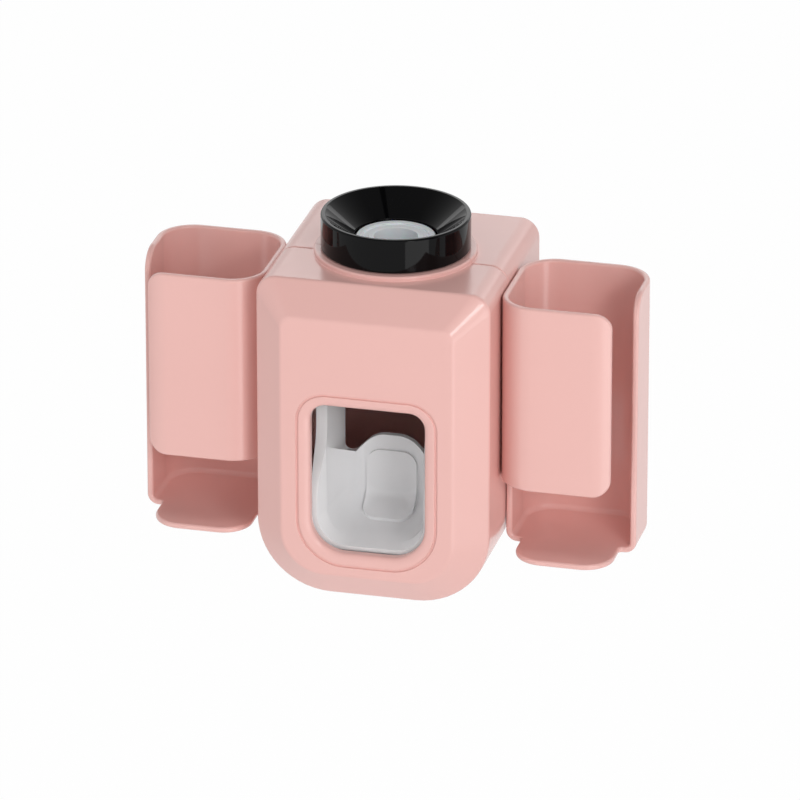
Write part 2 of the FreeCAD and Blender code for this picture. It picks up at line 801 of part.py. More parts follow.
def push_lever():
    """One moulding: scoop floor, back paddle with lobe and panel, two arms, heads and a cross bar."""
    rear = stop_plane()
    low = scoop_floor - scoop_floor_thick
    above = pivot_height + head_radius * 2
    outer_corner = scoop_corner + (arm_thick + scoop_floor_thick) / 2
    outer = prism(
        front_outline(0, scoop_front, outer_corner, 0, arm_outer, low, above), Y_AXIS * (rear - scoop_front)
    )
    outline = [
        (scoop_front, low), (scoop_front, scoop_rise), (arm_front, arm_rise), (arm_front, arm_shoulder),
        (pivot_depth - head_radius, pivot_height), (pivot_depth, pivot_height),
        (pivot_depth, stop_height), (rear, stop_height), (rear, low),
    ]
    radii = [peg_radius, arm_curve, arm_curve, head_radius, 0, 0, 0, peg_radius, scoop_back_fillet]
    blade = side_prism(outline, radii, -arm_outer, arm_outer)
    head_axis = V(arm_outer * 2, 0, 0)
    start = V(-arm_outer, pivot_depth, pivot_height)
    blade = blade.fuse(rod(head_radius, start, start + head_axis))
    lever = outer.common(blade)

    mouth = front_outline(
        -scoop_flare, scoop_front, scoop_corner, 0, arm_half_gap, scoop_floor + scoop_flare, above + overrun
    )
    top = above + overrun + scoop_flare
    throat = front_outline(0, scoop_root, scoop_corner, 0, arm_half_gap, scoop_floor, top)
    lever = lever.cut(scoop_hollow(0, above + overrun).fuse(Part.makeLoft([mouth, throat], True, True)))
    ledge = [
        (scoop_front, ledge_height), (arm_front, ledge_height), (paddle_front, saddle_height),
        (body_depth, saddle_height), (body_depth, above), (scoop_front, above),
    ]
    points = [
        V(-arm_half_gap, scoop_front, above + overrun), V(-arm_half_gap, scoop_front, saddle_height),
        V(-saddle_half_width, scoop_front, saddle_height), V(-lobe_half_width, scoop_front, lobe_height),
        V(lobe_half_width, scoop_front, lobe_height), V(saddle_half_width, scoop_front, saddle_height),
        V(arm_half_gap, scoop_front, saddle_height), V(arm_half_gap, scoop_front, above + overrun),
    ]
    radii = [0, notch_round, saddle_round, lobe_round, lobe_round, saddle_round, notch_round, 0]
    over_paddle = prism(rounded_wire(points, radii), Y_AXIS * body_depth)
    over_ledge = side_prism(ledge, [0] * len(ledge), -arm_half_gap, arm_half_gap)
    lever = lever.cut(over_paddle.common(over_ledge))

    panel_end = paddle_front + paddle_thick / 2
    face = front_outline(0, scoop_root, 0, panel_round, panel_half_width, scoop_floor, panel_high)
    panel = prism(face, Y_AXIS * (panel_end - scoop_root))
    face = plan_outline(-panel_half_width, panel_half_width, panel_foot, panel_end + panel_round,
                        scoop_floor, panel_round)
    panel = panel.common(prism(face, Z_AXIS * (panel_high - scoop_floor)))
    panel = panel.cut(scoop_hollow(panel_raise, above))
    bar_back = presser_rear() - presser_thick
    bar_end = arm_half_gap + arm_thick / 2
    bar = plan_outline(-bar_end, bar_end, bar_back - bar_thick, bar_back, bar_low, bar_thick / 3)
    bar = prism(bar, Z_AXIS * (bar_high - bar_low))
    peg_y = pivot_depth - spring_radius - spring_wire / 2 - peg_gap - peg_radius
    peg_z = pivot_height - spring_leg + peg_radius * 2
    peg_end = V(spring_end() + spring_wire, peg_y, peg_z)
    peg = rod(peg_radius, V(arm_outer - arm_thick / 2, peg_y, peg_z), peg_end)
    lever = lever.fuse([panel, bar] + on_both_sides(peg))
    start = V(-arm_outer - overrun, pivot_depth, pivot_height)
    return lever.cut(rod(bush_radius, start, start + head_axis + X_AXIS * overrun * 2)).removeSplitter()


def presser_pad():
    """Rounded pad on the cross bar, just before the bulb."""
    rear = presser_rear()
    front = rear - presser_thick
    low = bar_low - presser_over
    high = bar_high + presser_over
    face_round = presser_thick / 2 - rest_gap / 10
    outline = [(front, low), (rear, low), (rear, high), (front, high)]
    return side_prism(outline, [0, face_round, face_round, 0], -presser_half_width, presser_half_width)


def pivot_pin():
    """Right-hand stub pin with a head outside the frame and a clip groove at its inner end."""
    inner = arm_half_gap - pin_tail
    centre = V(0, pivot_depth, pivot_height)
    pin = rod(pin_radius, centre + X_AXIS * inner, centre + X_AXIS * core_half_width)
    outside = core_half_width + pin_head_thick
    head = rod(pin_head_radius, centre + X_AXIS * core_half_width, centre + X_AXIS * outside)
    head = head.makeFillet(pin_head_thick / 3, edges_at(head, lambda p: near(p.x, outside)))
    groove_end = arm_half_gap - clip_gap
    start = centre + X_AXIS * (groove_end - clip_thick)
    end = centre + X_AXIS * groove_end
    groove = rod(pin_radius + overrun, start, end).cut(rod(pin_radius - clip_depth, start, end))
    return pin.fuse(head).cut(groove).removeSplitter()


def pin_clip():
    """Right-hand retaining clip: a ring open at the bottom."""
    end = arm_half_gap - clip_gap
    start = V(end - clip_thick, pivot_depth, pivot_height)
    ring = rod(clip_radius, start, start + X_AXIS * clip_thick)
    gap = box(start.x, end, pivot_depth - pin_radius / 2, pivot_depth + pin_radius / 2,
              pivot_height - clip_radius - overrun, pivot_height)
    return ring.cut([rod(pin_radius - clip_depth, start, start + X_AXIS * clip_thick), gap])


def lever_bush():
    """Right-hand flanged bush in the lever's arm."""
    centre = V(0, pivot_depth, pivot_height)
    sleeve = rod(bush_radius, centre + X_AXIS * arm_half_gap, centre + X_AXIS * arm_outer)
    flange = rod(bush_flange_radius, centre + X_AXIS * arm_outer, centre + X_AXIS * bush_outer)
    bore = rod(pin_radius + pin_gap, centre + X_AXIS * arm_half_gap, centre + X_AXIS * bush_outer)
    return sleeve.fuse(flange).cut(bore)


def stop_bumper():
    """Right-hand rubber block that the lever's arm rests on."""
    front = stop_plane() + bumper_gap
    return box(arm_half_gap + rest_gap, arm_outer - rest_gap, front, front + bumper_thick,
               stop_height - bumper_height, stop_height)


def spring_start():
    """X of the coil's first turn; the leg leans out from it towards the frame's side plate."""
    lean = spring_leg * spring_pitch / (2 * pi * spring_radius)
    return core_side - spring_side_gap - spring_wire / 2 - lean


def spring_end():
    """X of the coil's last turn, beside the lever's arm."""
    return spring_start() - spring_pitch * (spring_turns + 1 / 4)


def coil_point(turn):
    """Point and travel direction on the coil's centre line after so many turns."""
    angle = pi / 2 + 2 * pi * turn
    rise = spring_pitch / (2 * pi)
    point = V(
        spring_start() - spring_pitch * turn,
        pivot_depth + spring_radius * cos(angle),
        pivot_height + spring_radius * sin(angle),
    )
    along = V(-rise, -spring_radius * sin(angle), spring_radius * cos(angle))
    return point, along.normalize()


def tangent_arc(start, corner, end):
    """Arc from start to end whose end tangents meet at the corner."""
    chord_middle = (start + end) / 2
    ratio = (end - start).Length / 2 / (corner - start).Length
    return Part.Arc(start, chord_middle + (corner - chord_middle) * (ratio / (1 + ratio)), end).toShape()


def biarc(start, along_start, end, along_end):
    """Two arcs that join two points with the given directions at both ends."""
    span = end - start
    both = along_start + along_end
    turn = 2 * (1 - along_start.dot(along_end))
    lean = span.dot(both)
    reach = (-lean + (lean * lean + turn * span.dot(span)) ** 0.5) / turn
    first = start + along_start * reach
    second = end - along_end * reach
    middle = (first + second) / 2
    return [tangent_arc(start, first, middle), tangent_arc(middle, second, end)]


def torsion_spring():
    """Right-hand torsion spring: a leg on the frame's peg, a coil and a leg on the arm's peg."""
    quarters = 4 * spring_turns + 1
    point, along = coil_point(0)
    edges = [Part.LineSegment(point - along * spring_leg, point).toShape()]
    first = point - along * spring_leg
    first_along = along
    for i in range(1, quarters + 1):
        after, after_along = coil_point(i / 4)
        edges.extend(biarc(point, along, after, after_along))
        point = after
        along = after_along
    edges.append(Part.LineSegment(point, point + along * spring_leg).toShape())
    profile = Part.Wire(Part.makeCircle(spring_wire / 2, first, first_along))
    return Part.Wire(edges).makePipeShell([profile], True, False)


def coil_gap():
    """Least gap between one turn and the next, measured on points of the centre line."""
    samples = 48
    count = samples * spring_turns
    points = [coil_point(i / samples)[0] for i in range(count)]
    apart = samples * 3 // 4
    gaps = [(points[i] - points[j]).Length for i in range(count) for j in range(i + apart, count)]
    return min(gaps) - spring_wire


def check_spring(shape):
    """Prints the spring's least gap and how its volume compares with section times length."""
    length = 2 * spring_leg
    turns = spring_turns + 1 / 4
    length += turns * ((2 * pi * spring_radius) ** 2 + spring_pitch ** 2) ** 0.5
    section = pi * (spring_wire / 2) ** 2
    print(f"spring gap {coil_gap():.2f} mm, volume ratio {shape.Volume / (section * length):.4f}")


def main():
    """Builds every piece, moves it to the wall datum and writes one file for each."""
    os.makedirs("parts", exist_ok=True)
    cup = side_cup()
    pin = pivot_pin()
    spring = torsion_spring()
    check_spring(spring)
    pieces = {
        "wall_pad": wall_pad(),
        "wall_plate": wall_plate(),
        "rear_housing": rear_housing(),
        "front_cover": front_cover(),
        "tube_collar": tube_collar(),
        "tube_seat": tube_seat(),
        "inlet_valve": inlet_valve(),
        "squeeze_chamber": squeeze_chamber(),
        "outlet_nozzle": outlet_nozzle(),
        "nozzle_ring": nozzle_ring(),
        "core_frame": core_frame(),
        "core_screws": core_screws(),
        "push_lever": push_lever(),
        "presser_pad": presser_pad(),
        "lever_bushes": both_sides(lever_bush()),
        "right_pivot_pin": pin,
        "left_pivot_pin": mirrored(pin),
        "pin_clips": both_sides(pin_clip()),
        "right_spring": spring,
        "left_spring": mirrored(spring),
        "stop_bumpers": both_sides(stop_bumper()),
        "right_holder": cup,
        "left_holder": mirrored(cup),
    }
    datum = V(0, wall_plane, mount_height)
    for name, shape in pieces.items():
        shape = shape.copy()
        shape.translate(-datum)
        state = "ok" if shape.isValid() else "INVALID"
        print(f"{name}: {len(shape.Solids)} solid, {shape.Volume:.1f} mm3, {state}")
        shape.exportStep(f"parts/{name}.step")


main()
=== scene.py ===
"""Dresses the wall-hung toothpaste dispenser: moulded surfaces, finishes, studio and camera.

Sizes are millimetres in the body frame, whose origin is the middle of the body's front bottom
edge, with X to the right, Y back to the wall and Z up. to_row() turns them into the row frame.
"""
import logging
import math
from dataclasses import dataclass
from enum import Enum
from typing import Any

import bmesh
import bpy
import numpy as np
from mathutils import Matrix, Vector


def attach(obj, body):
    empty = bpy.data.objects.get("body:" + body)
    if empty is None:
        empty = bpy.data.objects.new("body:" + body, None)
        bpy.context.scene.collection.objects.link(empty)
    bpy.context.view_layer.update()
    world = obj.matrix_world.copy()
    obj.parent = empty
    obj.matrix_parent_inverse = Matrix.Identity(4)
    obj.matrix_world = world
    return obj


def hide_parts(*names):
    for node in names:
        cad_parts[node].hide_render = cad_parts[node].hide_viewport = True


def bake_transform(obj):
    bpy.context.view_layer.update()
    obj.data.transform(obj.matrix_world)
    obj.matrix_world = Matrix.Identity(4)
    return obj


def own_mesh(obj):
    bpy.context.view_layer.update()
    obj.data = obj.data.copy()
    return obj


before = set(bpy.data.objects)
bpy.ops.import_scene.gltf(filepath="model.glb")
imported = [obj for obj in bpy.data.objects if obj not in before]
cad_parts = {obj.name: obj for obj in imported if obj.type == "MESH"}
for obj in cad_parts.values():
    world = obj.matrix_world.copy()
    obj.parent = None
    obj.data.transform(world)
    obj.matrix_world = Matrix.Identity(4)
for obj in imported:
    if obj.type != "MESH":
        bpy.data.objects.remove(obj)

Array = np.ndarray
Piece = bpy.types.Object
Tree = bpy.types.NodeTree
Node = bpy.types.Node
Feed = tuple[Node, str | int]
Pair = tuple[float, float]
Triple = tuple[float, float, float]

log = logging.getLogger("dispenser")
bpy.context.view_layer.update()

MM = 0.001
WALL_PLANE = 96.0
MOUNT_HEIGHT = 67.0
COLLAR_DEPTH = 48.1
CORNER_STEPS = 14
TURN_STEPS = 144
TAU = 2 * math.pi
TINY = 1e-9
WELD_REACH = 2e-6
FLAT_ANGLE = 0.6
SHARP_ANGLE = 40.0
CREASE = 38.0


def to_row(points: Array | list[float]) -> Array:
    """Moves body-frame millimetres to the row frame in metres.

    Args:
        points: array whose last axis is X, Y, Z.

    Returns:
        The same array shifted to the middle of the wall pad and scaled.
    """
    return (np.asarray(points, float) - np.array([0.0, WALL_PLANE, MOUNT_HEIGHT])) * MM


def linear(code: str) -> tuple[float, float, float, float]:
    """Turns an sRGB hex colour into linear RGBA.

    Args:
        code: six hex digits.

    Returns:
        Linear red, green, blue and an alpha of one.
    """
    srgb = np.array([int(code[i:i + 2], 16) for i in (0, 2, 4)]) / 255
    low, high = srgb / 12.92, ((srgb + 0.055) / 1.055) ** 2.4
    return (*np.where(srgb <= 0.04045, low, high).tolist(), 1.0)


# Surfaces


def joined(*axes: float | Array) -> Array:
    """Stacks coordinates into points, once they are spread to one shape."""
    return np.stack(np.broadcast_arrays(*axes), -1)


@dataclass
class Skin:
    """Points and faces of closed surfaces, in body-frame millimetres."""

    points: Array
    faces: list[tuple[int, ...]]

    def __add__(self, other: "Skin") -> "Skin":
        """Both surfaces as one."""
        moved = [tuple(i + len(self.points) for i in face) for face in other.faces]
        return Skin(np.vstack([self.points, other.points]), self.faces + moved)

    def mirrored(self) -> "Skin":
        """The mirror image in X, with its faces turned so that they still point outwards."""
        return Skin(self.points * [-1, 1, 1], [face[::-1] for face in self.faces])


def woven(rows: Array, ring: bool = False) -> Skin:
    """Closes a stack of loops into a skin.

    Quads join each loop to the next one. The stack either bends round to meet its first loop, or
    ends in one flat face at each end. The signed volume, a sixth of the sum of the triple
    products of the fans' corners, says whether the faces have to be turned outwards.

    Args:
        rows: array of loops, shaped (loops, points in a loop, 3).
        ring: joins the last loop to the first.

    Returns:
        The closed surface.
    """
    loops, count = rows.shape[:2]
    last = loops if ring else loops - 1
    i, j = np.meshgrid(np.arange(last), np.arange(count), indexing="ij")
    ahead, beside = (i + 1) % loops, (j + 1) % count
    quads = np.stack([i * count + j, i * count + beside, ahead * count + beside, ahead * count + j], -1)
    faces = [tuple(q) for q in quads.reshape(-1, 4).tolist()]
    if not ring:
        faces.append(tuple(range(count))[::-1])
        faces.append(tuple(range((loops - 1) * count, loops * count)))
    points = rows.reshape(-1, 3)
    a = points[quads.reshape(-1, 4)]
    volume = (a[:, 0] * (np.cross(a[:, 1], a[:, 2]) + np.cross(a[:, 2], a[:, 3]))).sum()
    if not ring:
        for cap in faces[-2:]:
            p = points[list(cap)]
            volume += (p[0] * np.cross(p[1:-1], p[2:])).sum()
    if volume < 0:
        faces = [face[::-1] for face in faces]
    return Skin(points, faces)


def unit(vectors: Array) -> Array:
    """Vectors of the same directions and a length of one."""
    return vectors / np.maximum(np.linalg.norm(vectors, axis=-1, keepdims=True), TINY)


def filleted(corners: list[Triple], closed: bool = False, steps: int = 6) -> Array:
    """Rounds a polyline's corners.

    At each corner the arc starts and ends at radius over tangent of half the inner angle along
    the two sides, and its points lie on a circle about the point on the bisector at radius over
    sine of that half angle. A corner of no radius stays one point.

    Args:
        corners: first coordinate, second coordinate and radius of each corner.
        closed: the polyline is a loop.
        steps: segments in each arc.

    Returns:
        The points of the rounded line, shaped (n, 2).
    """
    table = np.array(corners, float)
    at, radius = table[:, :2], table[:, 2]
    back, ahead = unit(np.roll(at, 1, 0) - at), unit(np.roll(at, -1, 0) - at)
    half = np.arccos(np.clip((back * ahead).sum(1), -1, 1)) / 2
    if not closed:
        radius[[0, -1]] = 0
        half[[0, -1]] = 1
    centre = at + unit(back + ahead) * (radius / np.maximum(np.sin(half), TINY))[:, None]
    reach = (radius / np.maximum(np.tan(half), TINY))[:, None]
    start = at + back * reach - centre
    end = at + ahead * reach - centre
    first = np.arctan2(start[:, 1], start[:, 0])
    sweep = np.arctan2(end[:, 1], end[:, 0]) - first
    sweep = (sweep + math.pi) % TAU - math.pi
    turn = first[:, None] + sweep[:, None] * np.linspace(0, 1, steps + 1)
    arcs = centre[:, None] + radius[:, None, None] * np.stack([np.cos(turn), np.sin(turn)], -1)
    keep = np.ones(arcs.shape[:2], bool)
    keep[radius == 0, 1:] = False
    return arcs[keep]


def upright_rings(table: Array) -> Array:
    """Rounded rectangles that stand in planes of constant depth.

    Each corner is a quarter circle about its own centre, and straight sides join the quarters, so
    loops of different sizes keep their corners in line.

    Args:
        table: one row for each loop: half width, bottom, top, low radius, high radius, depth.

    Returns:
        Loops shaped (rows, points in a loop, 3).
    """
    half, low, high, low_r, high_r, depth = (column[:, None, None] for column in np.asarray(table, float).T)
    quarter = np.linspace(0, math.pi / 2, CORNER_STEPS + 1)
    turn = np.stack([quarter - math.pi / 2, quarter, quarter + math.pi / 2, quarter + math.pi])[None]
    side = np.array([1, 1, -1, -1])[None, :, None]
    lower = np.array([True, False, False, True])[None, :, None]
    radius = np.where(lower, low_r, high_r)
    x = side * (half - radius) + radius * np.cos(turn)
    z = np.where(lower, low + radius, high - radius) + radius * np.sin(turn)
    return joined(x, depth, z).reshape(len(table), -1, 3)


def turned(profile: Array, centre: Pair, steps: int = TURN_STEPS) -> Skin:
    """Surface of revolution about an upright line.

    A point at radius r and height z goes to the centre plus r times the cosine and sine of the
    turn, at height z.

    Args:
        profile: closed line of radius and height.
        centre: X and Y of the axis.
        steps: segments round the axis.

    Returns:
        The closed surface, or a closed ring where the profile stays off the axis.
    """
    turn = np.linspace(0, TAU, steps, endpoint=False)[:, None]
    radius, height = profile[:, 0], profile[:, 1]
    x = centre[0] + radius * np.cos(turn)
    y = centre[1] + radius * np.sin(turn)
    return woven(joined(x, y, height), ring=True)


def swept(line: Array, side: Array, up: Array, radius: Array, steps: int = 12) -> Skin:
    """Round tube along a line.

    Each loop is the line's point plus radius times cosine of the turn along one frame vector and
    sine of the turn along the other.

    Args:
        line: centre points.
        side: first frame vector at each point.
        up: second frame vector at each point.
        radius: radius at each point.
        steps: segments round the tube.

    Returns:
        The closed tube.
    """
    turn, wide = np.linspace(0, TAU, steps, endpoint=False)[:, None], radius[:, None, None]
    return woven(line[:, None] + wide * np.cos(turn) * side[:, None] + wide * np.sin(turn) * up[:, None])


def block(low: Triple, high: Triple) -> Skin:
    """Box between two corners, as two loops of four points.

    Args:
        low: its least X, Y and Z.
        high: its greatest X, Y and Z.

    Returns:
        The closed box.
    """
    x = np.array([low[0], high[0], high[0], low[0]])
    z = np.array([low[2], low[2], high[2], high[2]])
    return woven(np.stack([joined(x, y, z) for y in (low[1], high[1])]))


def bar(radius: float, start: Triple, end: Triple) -> Skin:
    """Round bar between two points, as two circles across its axis.

    Args:
        radius: the bar's radius.
        start: first end of its axis.
        end: other end of its axis.

    Returns:
        The closed bar.
    """
    line = np.array([start, end], float)
    along = line[1] - line[0]
    side = unit(np.cross(along, np.roll(np.abs(along), 1) + 1))
    up = np.cross(along, side) / np.linalg.norm(along)
    return swept(line, np.tile(side, (2, 1)), np.tile(up, (2, 1)), np.full(2, radius), TURN_STEPS // 2)


# Pieces


def finish_normals(piece: Piece, crease: float = CREASE) -> None:
    """Shades a piece smoothly, keeps its creases and lets large faces rule their corners.

    Args:
        piece: the object.
        crease: angle in degrees past which an edge stays sharp.
    """
    piece.data.shade_smooth()
    piece.data.set_sharp_from_angle(angle=math.radians(crease))
    weighted = piece.modifiers.new("even_faces", "WEIGHTED_NORMAL")
    weighted.keep_sharp = True
    weighted.weight = 60


def applied(piece: Piece) -> None:
    """Bakes the modifiers that a piece has so far into its mesh.

    Args:
        piece: the object.
    """
    graph = bpy.context.evaluated_depsgraph_get()
    mesh = bpy.data.meshes.new_from_object(piece.evaluated_get(graph))
    piece.modifiers.clear()
    old, piece.data = piece.data, mesh
    bpy.data.meshes.remove(old)


def object_of(name: str, skin: Skin) -> Piece:
    """Puts a skin into a new object at the origin.

    Args:
        name: name of the object and its mesh.
        skin: the surface, in body-frame millimetres.

    Returns:
        The object, linked to the scene.
    """
    mesh = bpy.data.meshes.new(name)
    mesh.from_pydata(to_row(skin.points).tolist(), [], skin.faces)
    mesh.validate()
    made = bpy.data.objects.new(name, mesh)
    bpy.context.scene.collection.objects.link(made)
    return made


def carved(piece: Piece, cutters: list[Skin]) -> None:
    """Cuts closed skins out of a piece, one after another.

    Args:
        piece: the object to work on.
        cutters: the forms to take away.
    """
    tools = [object_of(f"cutter_{i}", skin) for i, skin in enumerate(cutters)]
    for tool in tools:
        cut = piece.modifiers.new(tool.name, "BOOLEAN")
        cut.operation = "DIFFERENCE"
        cut.solver = "EXACT"
        cut.object = tool
    bpy.context.view_layer.update()
    applied(piece)
    for tool in tools:
        bpy.data.objects.remove(tool)


def merged(mesh: bpy.types.Mesh) -> None:
    """Joins points that lie together and takes out the edges between flat neighbours.

    Args:
        mesh: the mesh, which is changed.
    """
    form = bmesh.new()
    form.from_mesh(mesh)
    bmesh.ops.remove_doubles(form, verts=form.verts, dist=WELD_REACH)
    flat = math.radians(FLAT_ANGLE)
    bmesh.ops.dissolve_limit(form, angle_limit=flat, verts=form.verts, edges=form.edges)
    form.to_mesh(mesh)
    form.free()


def broken_edges(piece: Piece, width: float) -> None:
    """Rounds a piece's sharp edges.

    Args:
        piece: the object.
        width: how far the rounding reaches on each side, in millimetres.
    """
    merged(piece.data)
    broken = piece.modifiers.new("broken_edges", "BEVEL")
    broken.width = width * MM
    broken.segments = 4
    broken.limit_method = "ANGLE"
    broken.angle_limit = math.radians(SHARP_ANGLE)
    broken.miter_outer = "MITER_ARC"
    bpy.context.view_layer.update()
    applied(piece)


def moulded_copy(node: str, name: str, soften: float) -> Piece:
    """Copies a CAD node, merges its loose triangles and rounds its sharp edges where asked.

    Args:
        node: the CAD node.
        name: name of the piece.
        soften: reach of the rounding in millimetres, or zero for none.

    Returns:
        The piece.
    """
    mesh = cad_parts[node].data.copy()
    mesh.materials.clear()
    mesh.name = name
    piece = bpy.data.objects.new(name, mesh)
    bpy.context.scene.collection.objects.link(piece)
    if soften:
        broken_edges(piece, soften)
    else:
        merged(mesh)
    return piece


# Finishes


class Process(Enum):
    """How a surface was made."""

    MOULDED = "moulded"
    POLISHED = "polished"
    SILICONE = "silicone"
    FOAM = "foam"
    DRAWN = "drawn"
    PLATED = "plated"
    TURNED = "turned"


def add_node(
    tree: Tree, kind: str, values: dict[str | int, Any] | None = None,
    links: dict[str | int, Feed] | None = None, **settings: Any,
) -> Node:
    """Adds one node with its settings, socket values and incoming links.

    Args:
        tree: the node tree.
        kind: Blender's name for the node type.
        values: values for input sockets.
        links: for an input socket, the node and output that feed it.
        **settings: properties of the node itself.

    Returns:
        The new node.
    """
    node = tree.nodes.new(kind)
    for key, value in settings.items():
        setattr(node, key, value)
    for key, value in (values or {}).items():
        node.inputs[key].default_value = value
    for key, (source, output) in (links or {}).items():
        tree.links.new(source.outputs[output], node.inputs[key])
    return node


def math_node(tree: Tree, operation: str, *terms: float | Feed) -> Node:
    """Adds one step of arithmetic.

    Args:
        tree: the node tree.
        operation: Blender's name for the step.
        *terms: for each input in turn, a number or the node and output that feed it.

    Returns:
        The new node.
    """
    values = {i: term for i, term in enumerate(terms) if not isinstance(term, tuple)}
    links = {i: term for i, term in enumerate(terms) if isinstance(term, tuple)}
    return add_node(tree, "ShaderNodeMath", values, links, operation=operation)


GRAIN_LOW = 0.3
GRAIN_HIGH = 0.7


@dataclass(frozen=True)
class Finish:
    """A real material and the process that shaped its surface."""

    name: str
    process: Process
    colour: str
    shade: str
    roughness: float
    spread: float
    cloud_mm: float
    grain_mm: float
    relief_mm: float
    ior: float = 1.5
    metallic: float = 0.0
    specular: float = 0.5
    subsurface: float = 0.0
    stretch: Triple = (1.0, 1.0, 1.0)

    def material(self) -> bpy.types.Material:
        """Builds the node material, once, and returns it.

        Returns:
            A material whose colour clouds, roughness and relief follow Object coordinates.
        """
        found = bpy.data.materials.get(self.name)
        if found:
            return found
        made = bpy.data.materials.new(self.name)
        made.use_nodes = True
        made.diffuse_color = linear(self.colour)
        tree = made.node_tree
        tree.nodes.clear()
        where = add_node(tree, "ShaderNodeTexCoord")
        drawn = add_node(tree, "ShaderNodeMapping", {"Scale": self.stretch}, {"Vector": (where, "Object")})
        # Clouds: a slow drift of the pigment over large faces; the scale is clouds to the metre.
        cloud = add_node(
            tree, "ShaderNodeTexNoise", {"Scale": 1000 / self.cloud_mm, "Detail": 3.0, "Roughness": 0.55},
            {"Vector": (drawn, "Vector")},
        )
        tint = add_node(
            tree, "ShaderNodeMix", {6: linear(self.shade), 7: linear(self.colour)}, {0: (cloud, 0)},
            data_type="RGBA",
        )
        # Grain: the fine texture that the process leaves, which breaks up the gloss and gives relief.
        grain = self.grain(tree, drawn)
        smooth, rough = self.roughness - self.spread / 2, self.roughness + self.spread / 2
        gloss = add_node(
            tree, "ShaderNodeMapRange", {1: GRAIN_LOW, 2: GRAIN_HIGH, 3: smooth, 4: rough}, {0: (grain, 0)}
        )
        relief = add_node(
            tree, "ShaderNodeBump", {"Strength": 1.0, "Distance": self.relief_mm * MM},
            {"Height": (grain, 0)},
        )
        shader = add_node(
            tree, "ShaderNodeBsdfPrincipled",
            {
                "IOR": self.ior, "Metallic": self.metallic, "Specular IOR Level": self.specular,
                "Subsurface Weight": self.subsurface, "Subsurface Scale": 0.004,
            },
            {"Base Color": (tint, 2), "Roughness": (gloss, 0), "Normal": (relief, 0)},
        )
        add_node(tree, "ShaderNodeOutputMaterial", links={"Surface": (shader, 0)})
        return made

    def grain(self, tree: Tree, vector: Node) -> Node:
        """Adds the pattern of the process.

        Args:
            tree: the node tree.
            vector: the node that gives the coordinates.

        Returns:
            Cells for foam, and noise for everything else, with the scale in grains to the metre.
        """
        scale, feed = 1000 / self.grain_mm, {"Vector": (vector, "Vector")}
        if self.process is Process.FOAM:
            return add_node(tree, "ShaderNodeTexVoronoi", {"Scale": scale}, feed)
        return add_node(tree, "ShaderNodeTexNoise", {"Scale": scale, "Detail": 2.0}, feed)

    def dress(self, piece: Piece) -> None:
        """Gives the finish to every face of an object."""
        piece.data.materials.clear()
        piece.data.materials.append(self.material())


# Moulded ABS, pigmented pink: a satin gloss with a slight orange peel from the mould.
PINK_ABS = Finish("abs_moulded_pink", Process.MOULDED, "EDBBB4", "EAB8B1", 0.21, 0.03, 70.0, 5.0, 0.002)
# Piano black ABS, polished in the mould: deep black with a clear reflection.
BLACK_ABS = Finish(
    "abs_polished_black", Process.POLISHED, "060607", "09090A", 0.06, 0.02, 30.0, 5.0, 0.001, specular=0.13
)
# White ABS with a gloss mould finish.
WHITE_ABS = Finish("abs_moulded_white", Process.POLISHED, "F1F1F2", "EEEEEF", 0.13, 0.03, 40.0, 5.0, 0.002)
# Natural ABS with a matt mould finish, as on parts that stay inside.
FRAME_ABS = Finish("abs_moulded_natural", Process.MOULDED, "DBD9D4", "D5D3CE", 0.46, 0.10, 30.0, 0.6, 0.012)
# Grey ABS with a matt mould finish.
GREY_ABS = Finish("abs_moulded_grey", Process.MOULDED, "CBCBCD", "C4C4C6", 0.5, 0.10, 30.0, 0.6, 0.012)
# Translucent silicone rubber: soft, milky and slightly blue.
SILICONE = Finish(
    "silicone_moulded_white", Process.SILICONE, "F4F7F9", "EFF3F6", 0.3, 0.06, 25.0, 1.2, 0.004, ior=1.41,
    subsurface=0.15,
)
# Closed-cell foam tape: matt, with cells that just show.
FOAM = Finish(
    "polyethylene_foam_white", Process.FOAM, "E4E6E8", "D8DADD", 0.9, 0.08, 18.0, 0.9, 0.12, specular=0.3
)
# Acetal, turned: waxy white with fine turning lines across its axis.
ACETAL = Finish(
    "acetal_turned", Process.TURNED, "EAE6DC", "E2DED4", 0.4, 0.1, 12.0, 0.5, 0.01, stretch=(6.0, 1.0, 1.0)
)
# Zinc-plated steel: bright with a faint bluish mottle.
ZINC_STEEL = Finish(
    "steel_zinc_plated", Process.PLATED, "C3C6C9", "B4B8BE", 0.32, 0.14, 4.0, 0.4, 0.004, metallic=1.0
)
# Stainless steel, turned.
PIN_STEEL = Finish(
    "steel_turned", Process.TURNED, "CDCECF", "BDBFC1", 0.26, 0.1, 8.0, 0.3, 0.004, metallic=1.0,
    stretch=(8.0, 1.0, 1.0),
)
# Spring wire, drawn through a die: a darker grey with a fine grain.
WIRE_STEEL = Finish(
    "steel_drawn_wire", Process.DRAWN, "A9ABAF", "96989D", 0.34, 0.14, 5.0, 0.3, 0.006, metallic=1.0
)
# Black rubber, moulded and matt.
RUBBER = Finish(
    "rubber_moulded_black", Process.MOULDED, "1C1C1D", "232324", 0.7, 0.1, 10.0, 0.5, 0.02, specular=0.35
)


def place(piece: Piece, body: str, finish: Finish, node: str, crease: float = CREASE) -> Piece:
    """Shades and dresses a piece and ties it to the frame.

    Args:
        piece: the object.
        body: CAD body that it moves with.
        finish: its finish.
        node: CAD node that it stands for.
        crease: angle in degrees past which an edge stays sharp.

    Returns:
        The same object.
    """
    finish_normals(piece, crease)
    finish.dress(piece)
    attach(piece, body)
    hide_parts(node)
    triangles = sum(len(face.vertices) - 2 for face in piece.data.polygons)
    log.info("%s rides on %s, %d triangles", piece.name, body, triangles)
    return piece


# Body shell


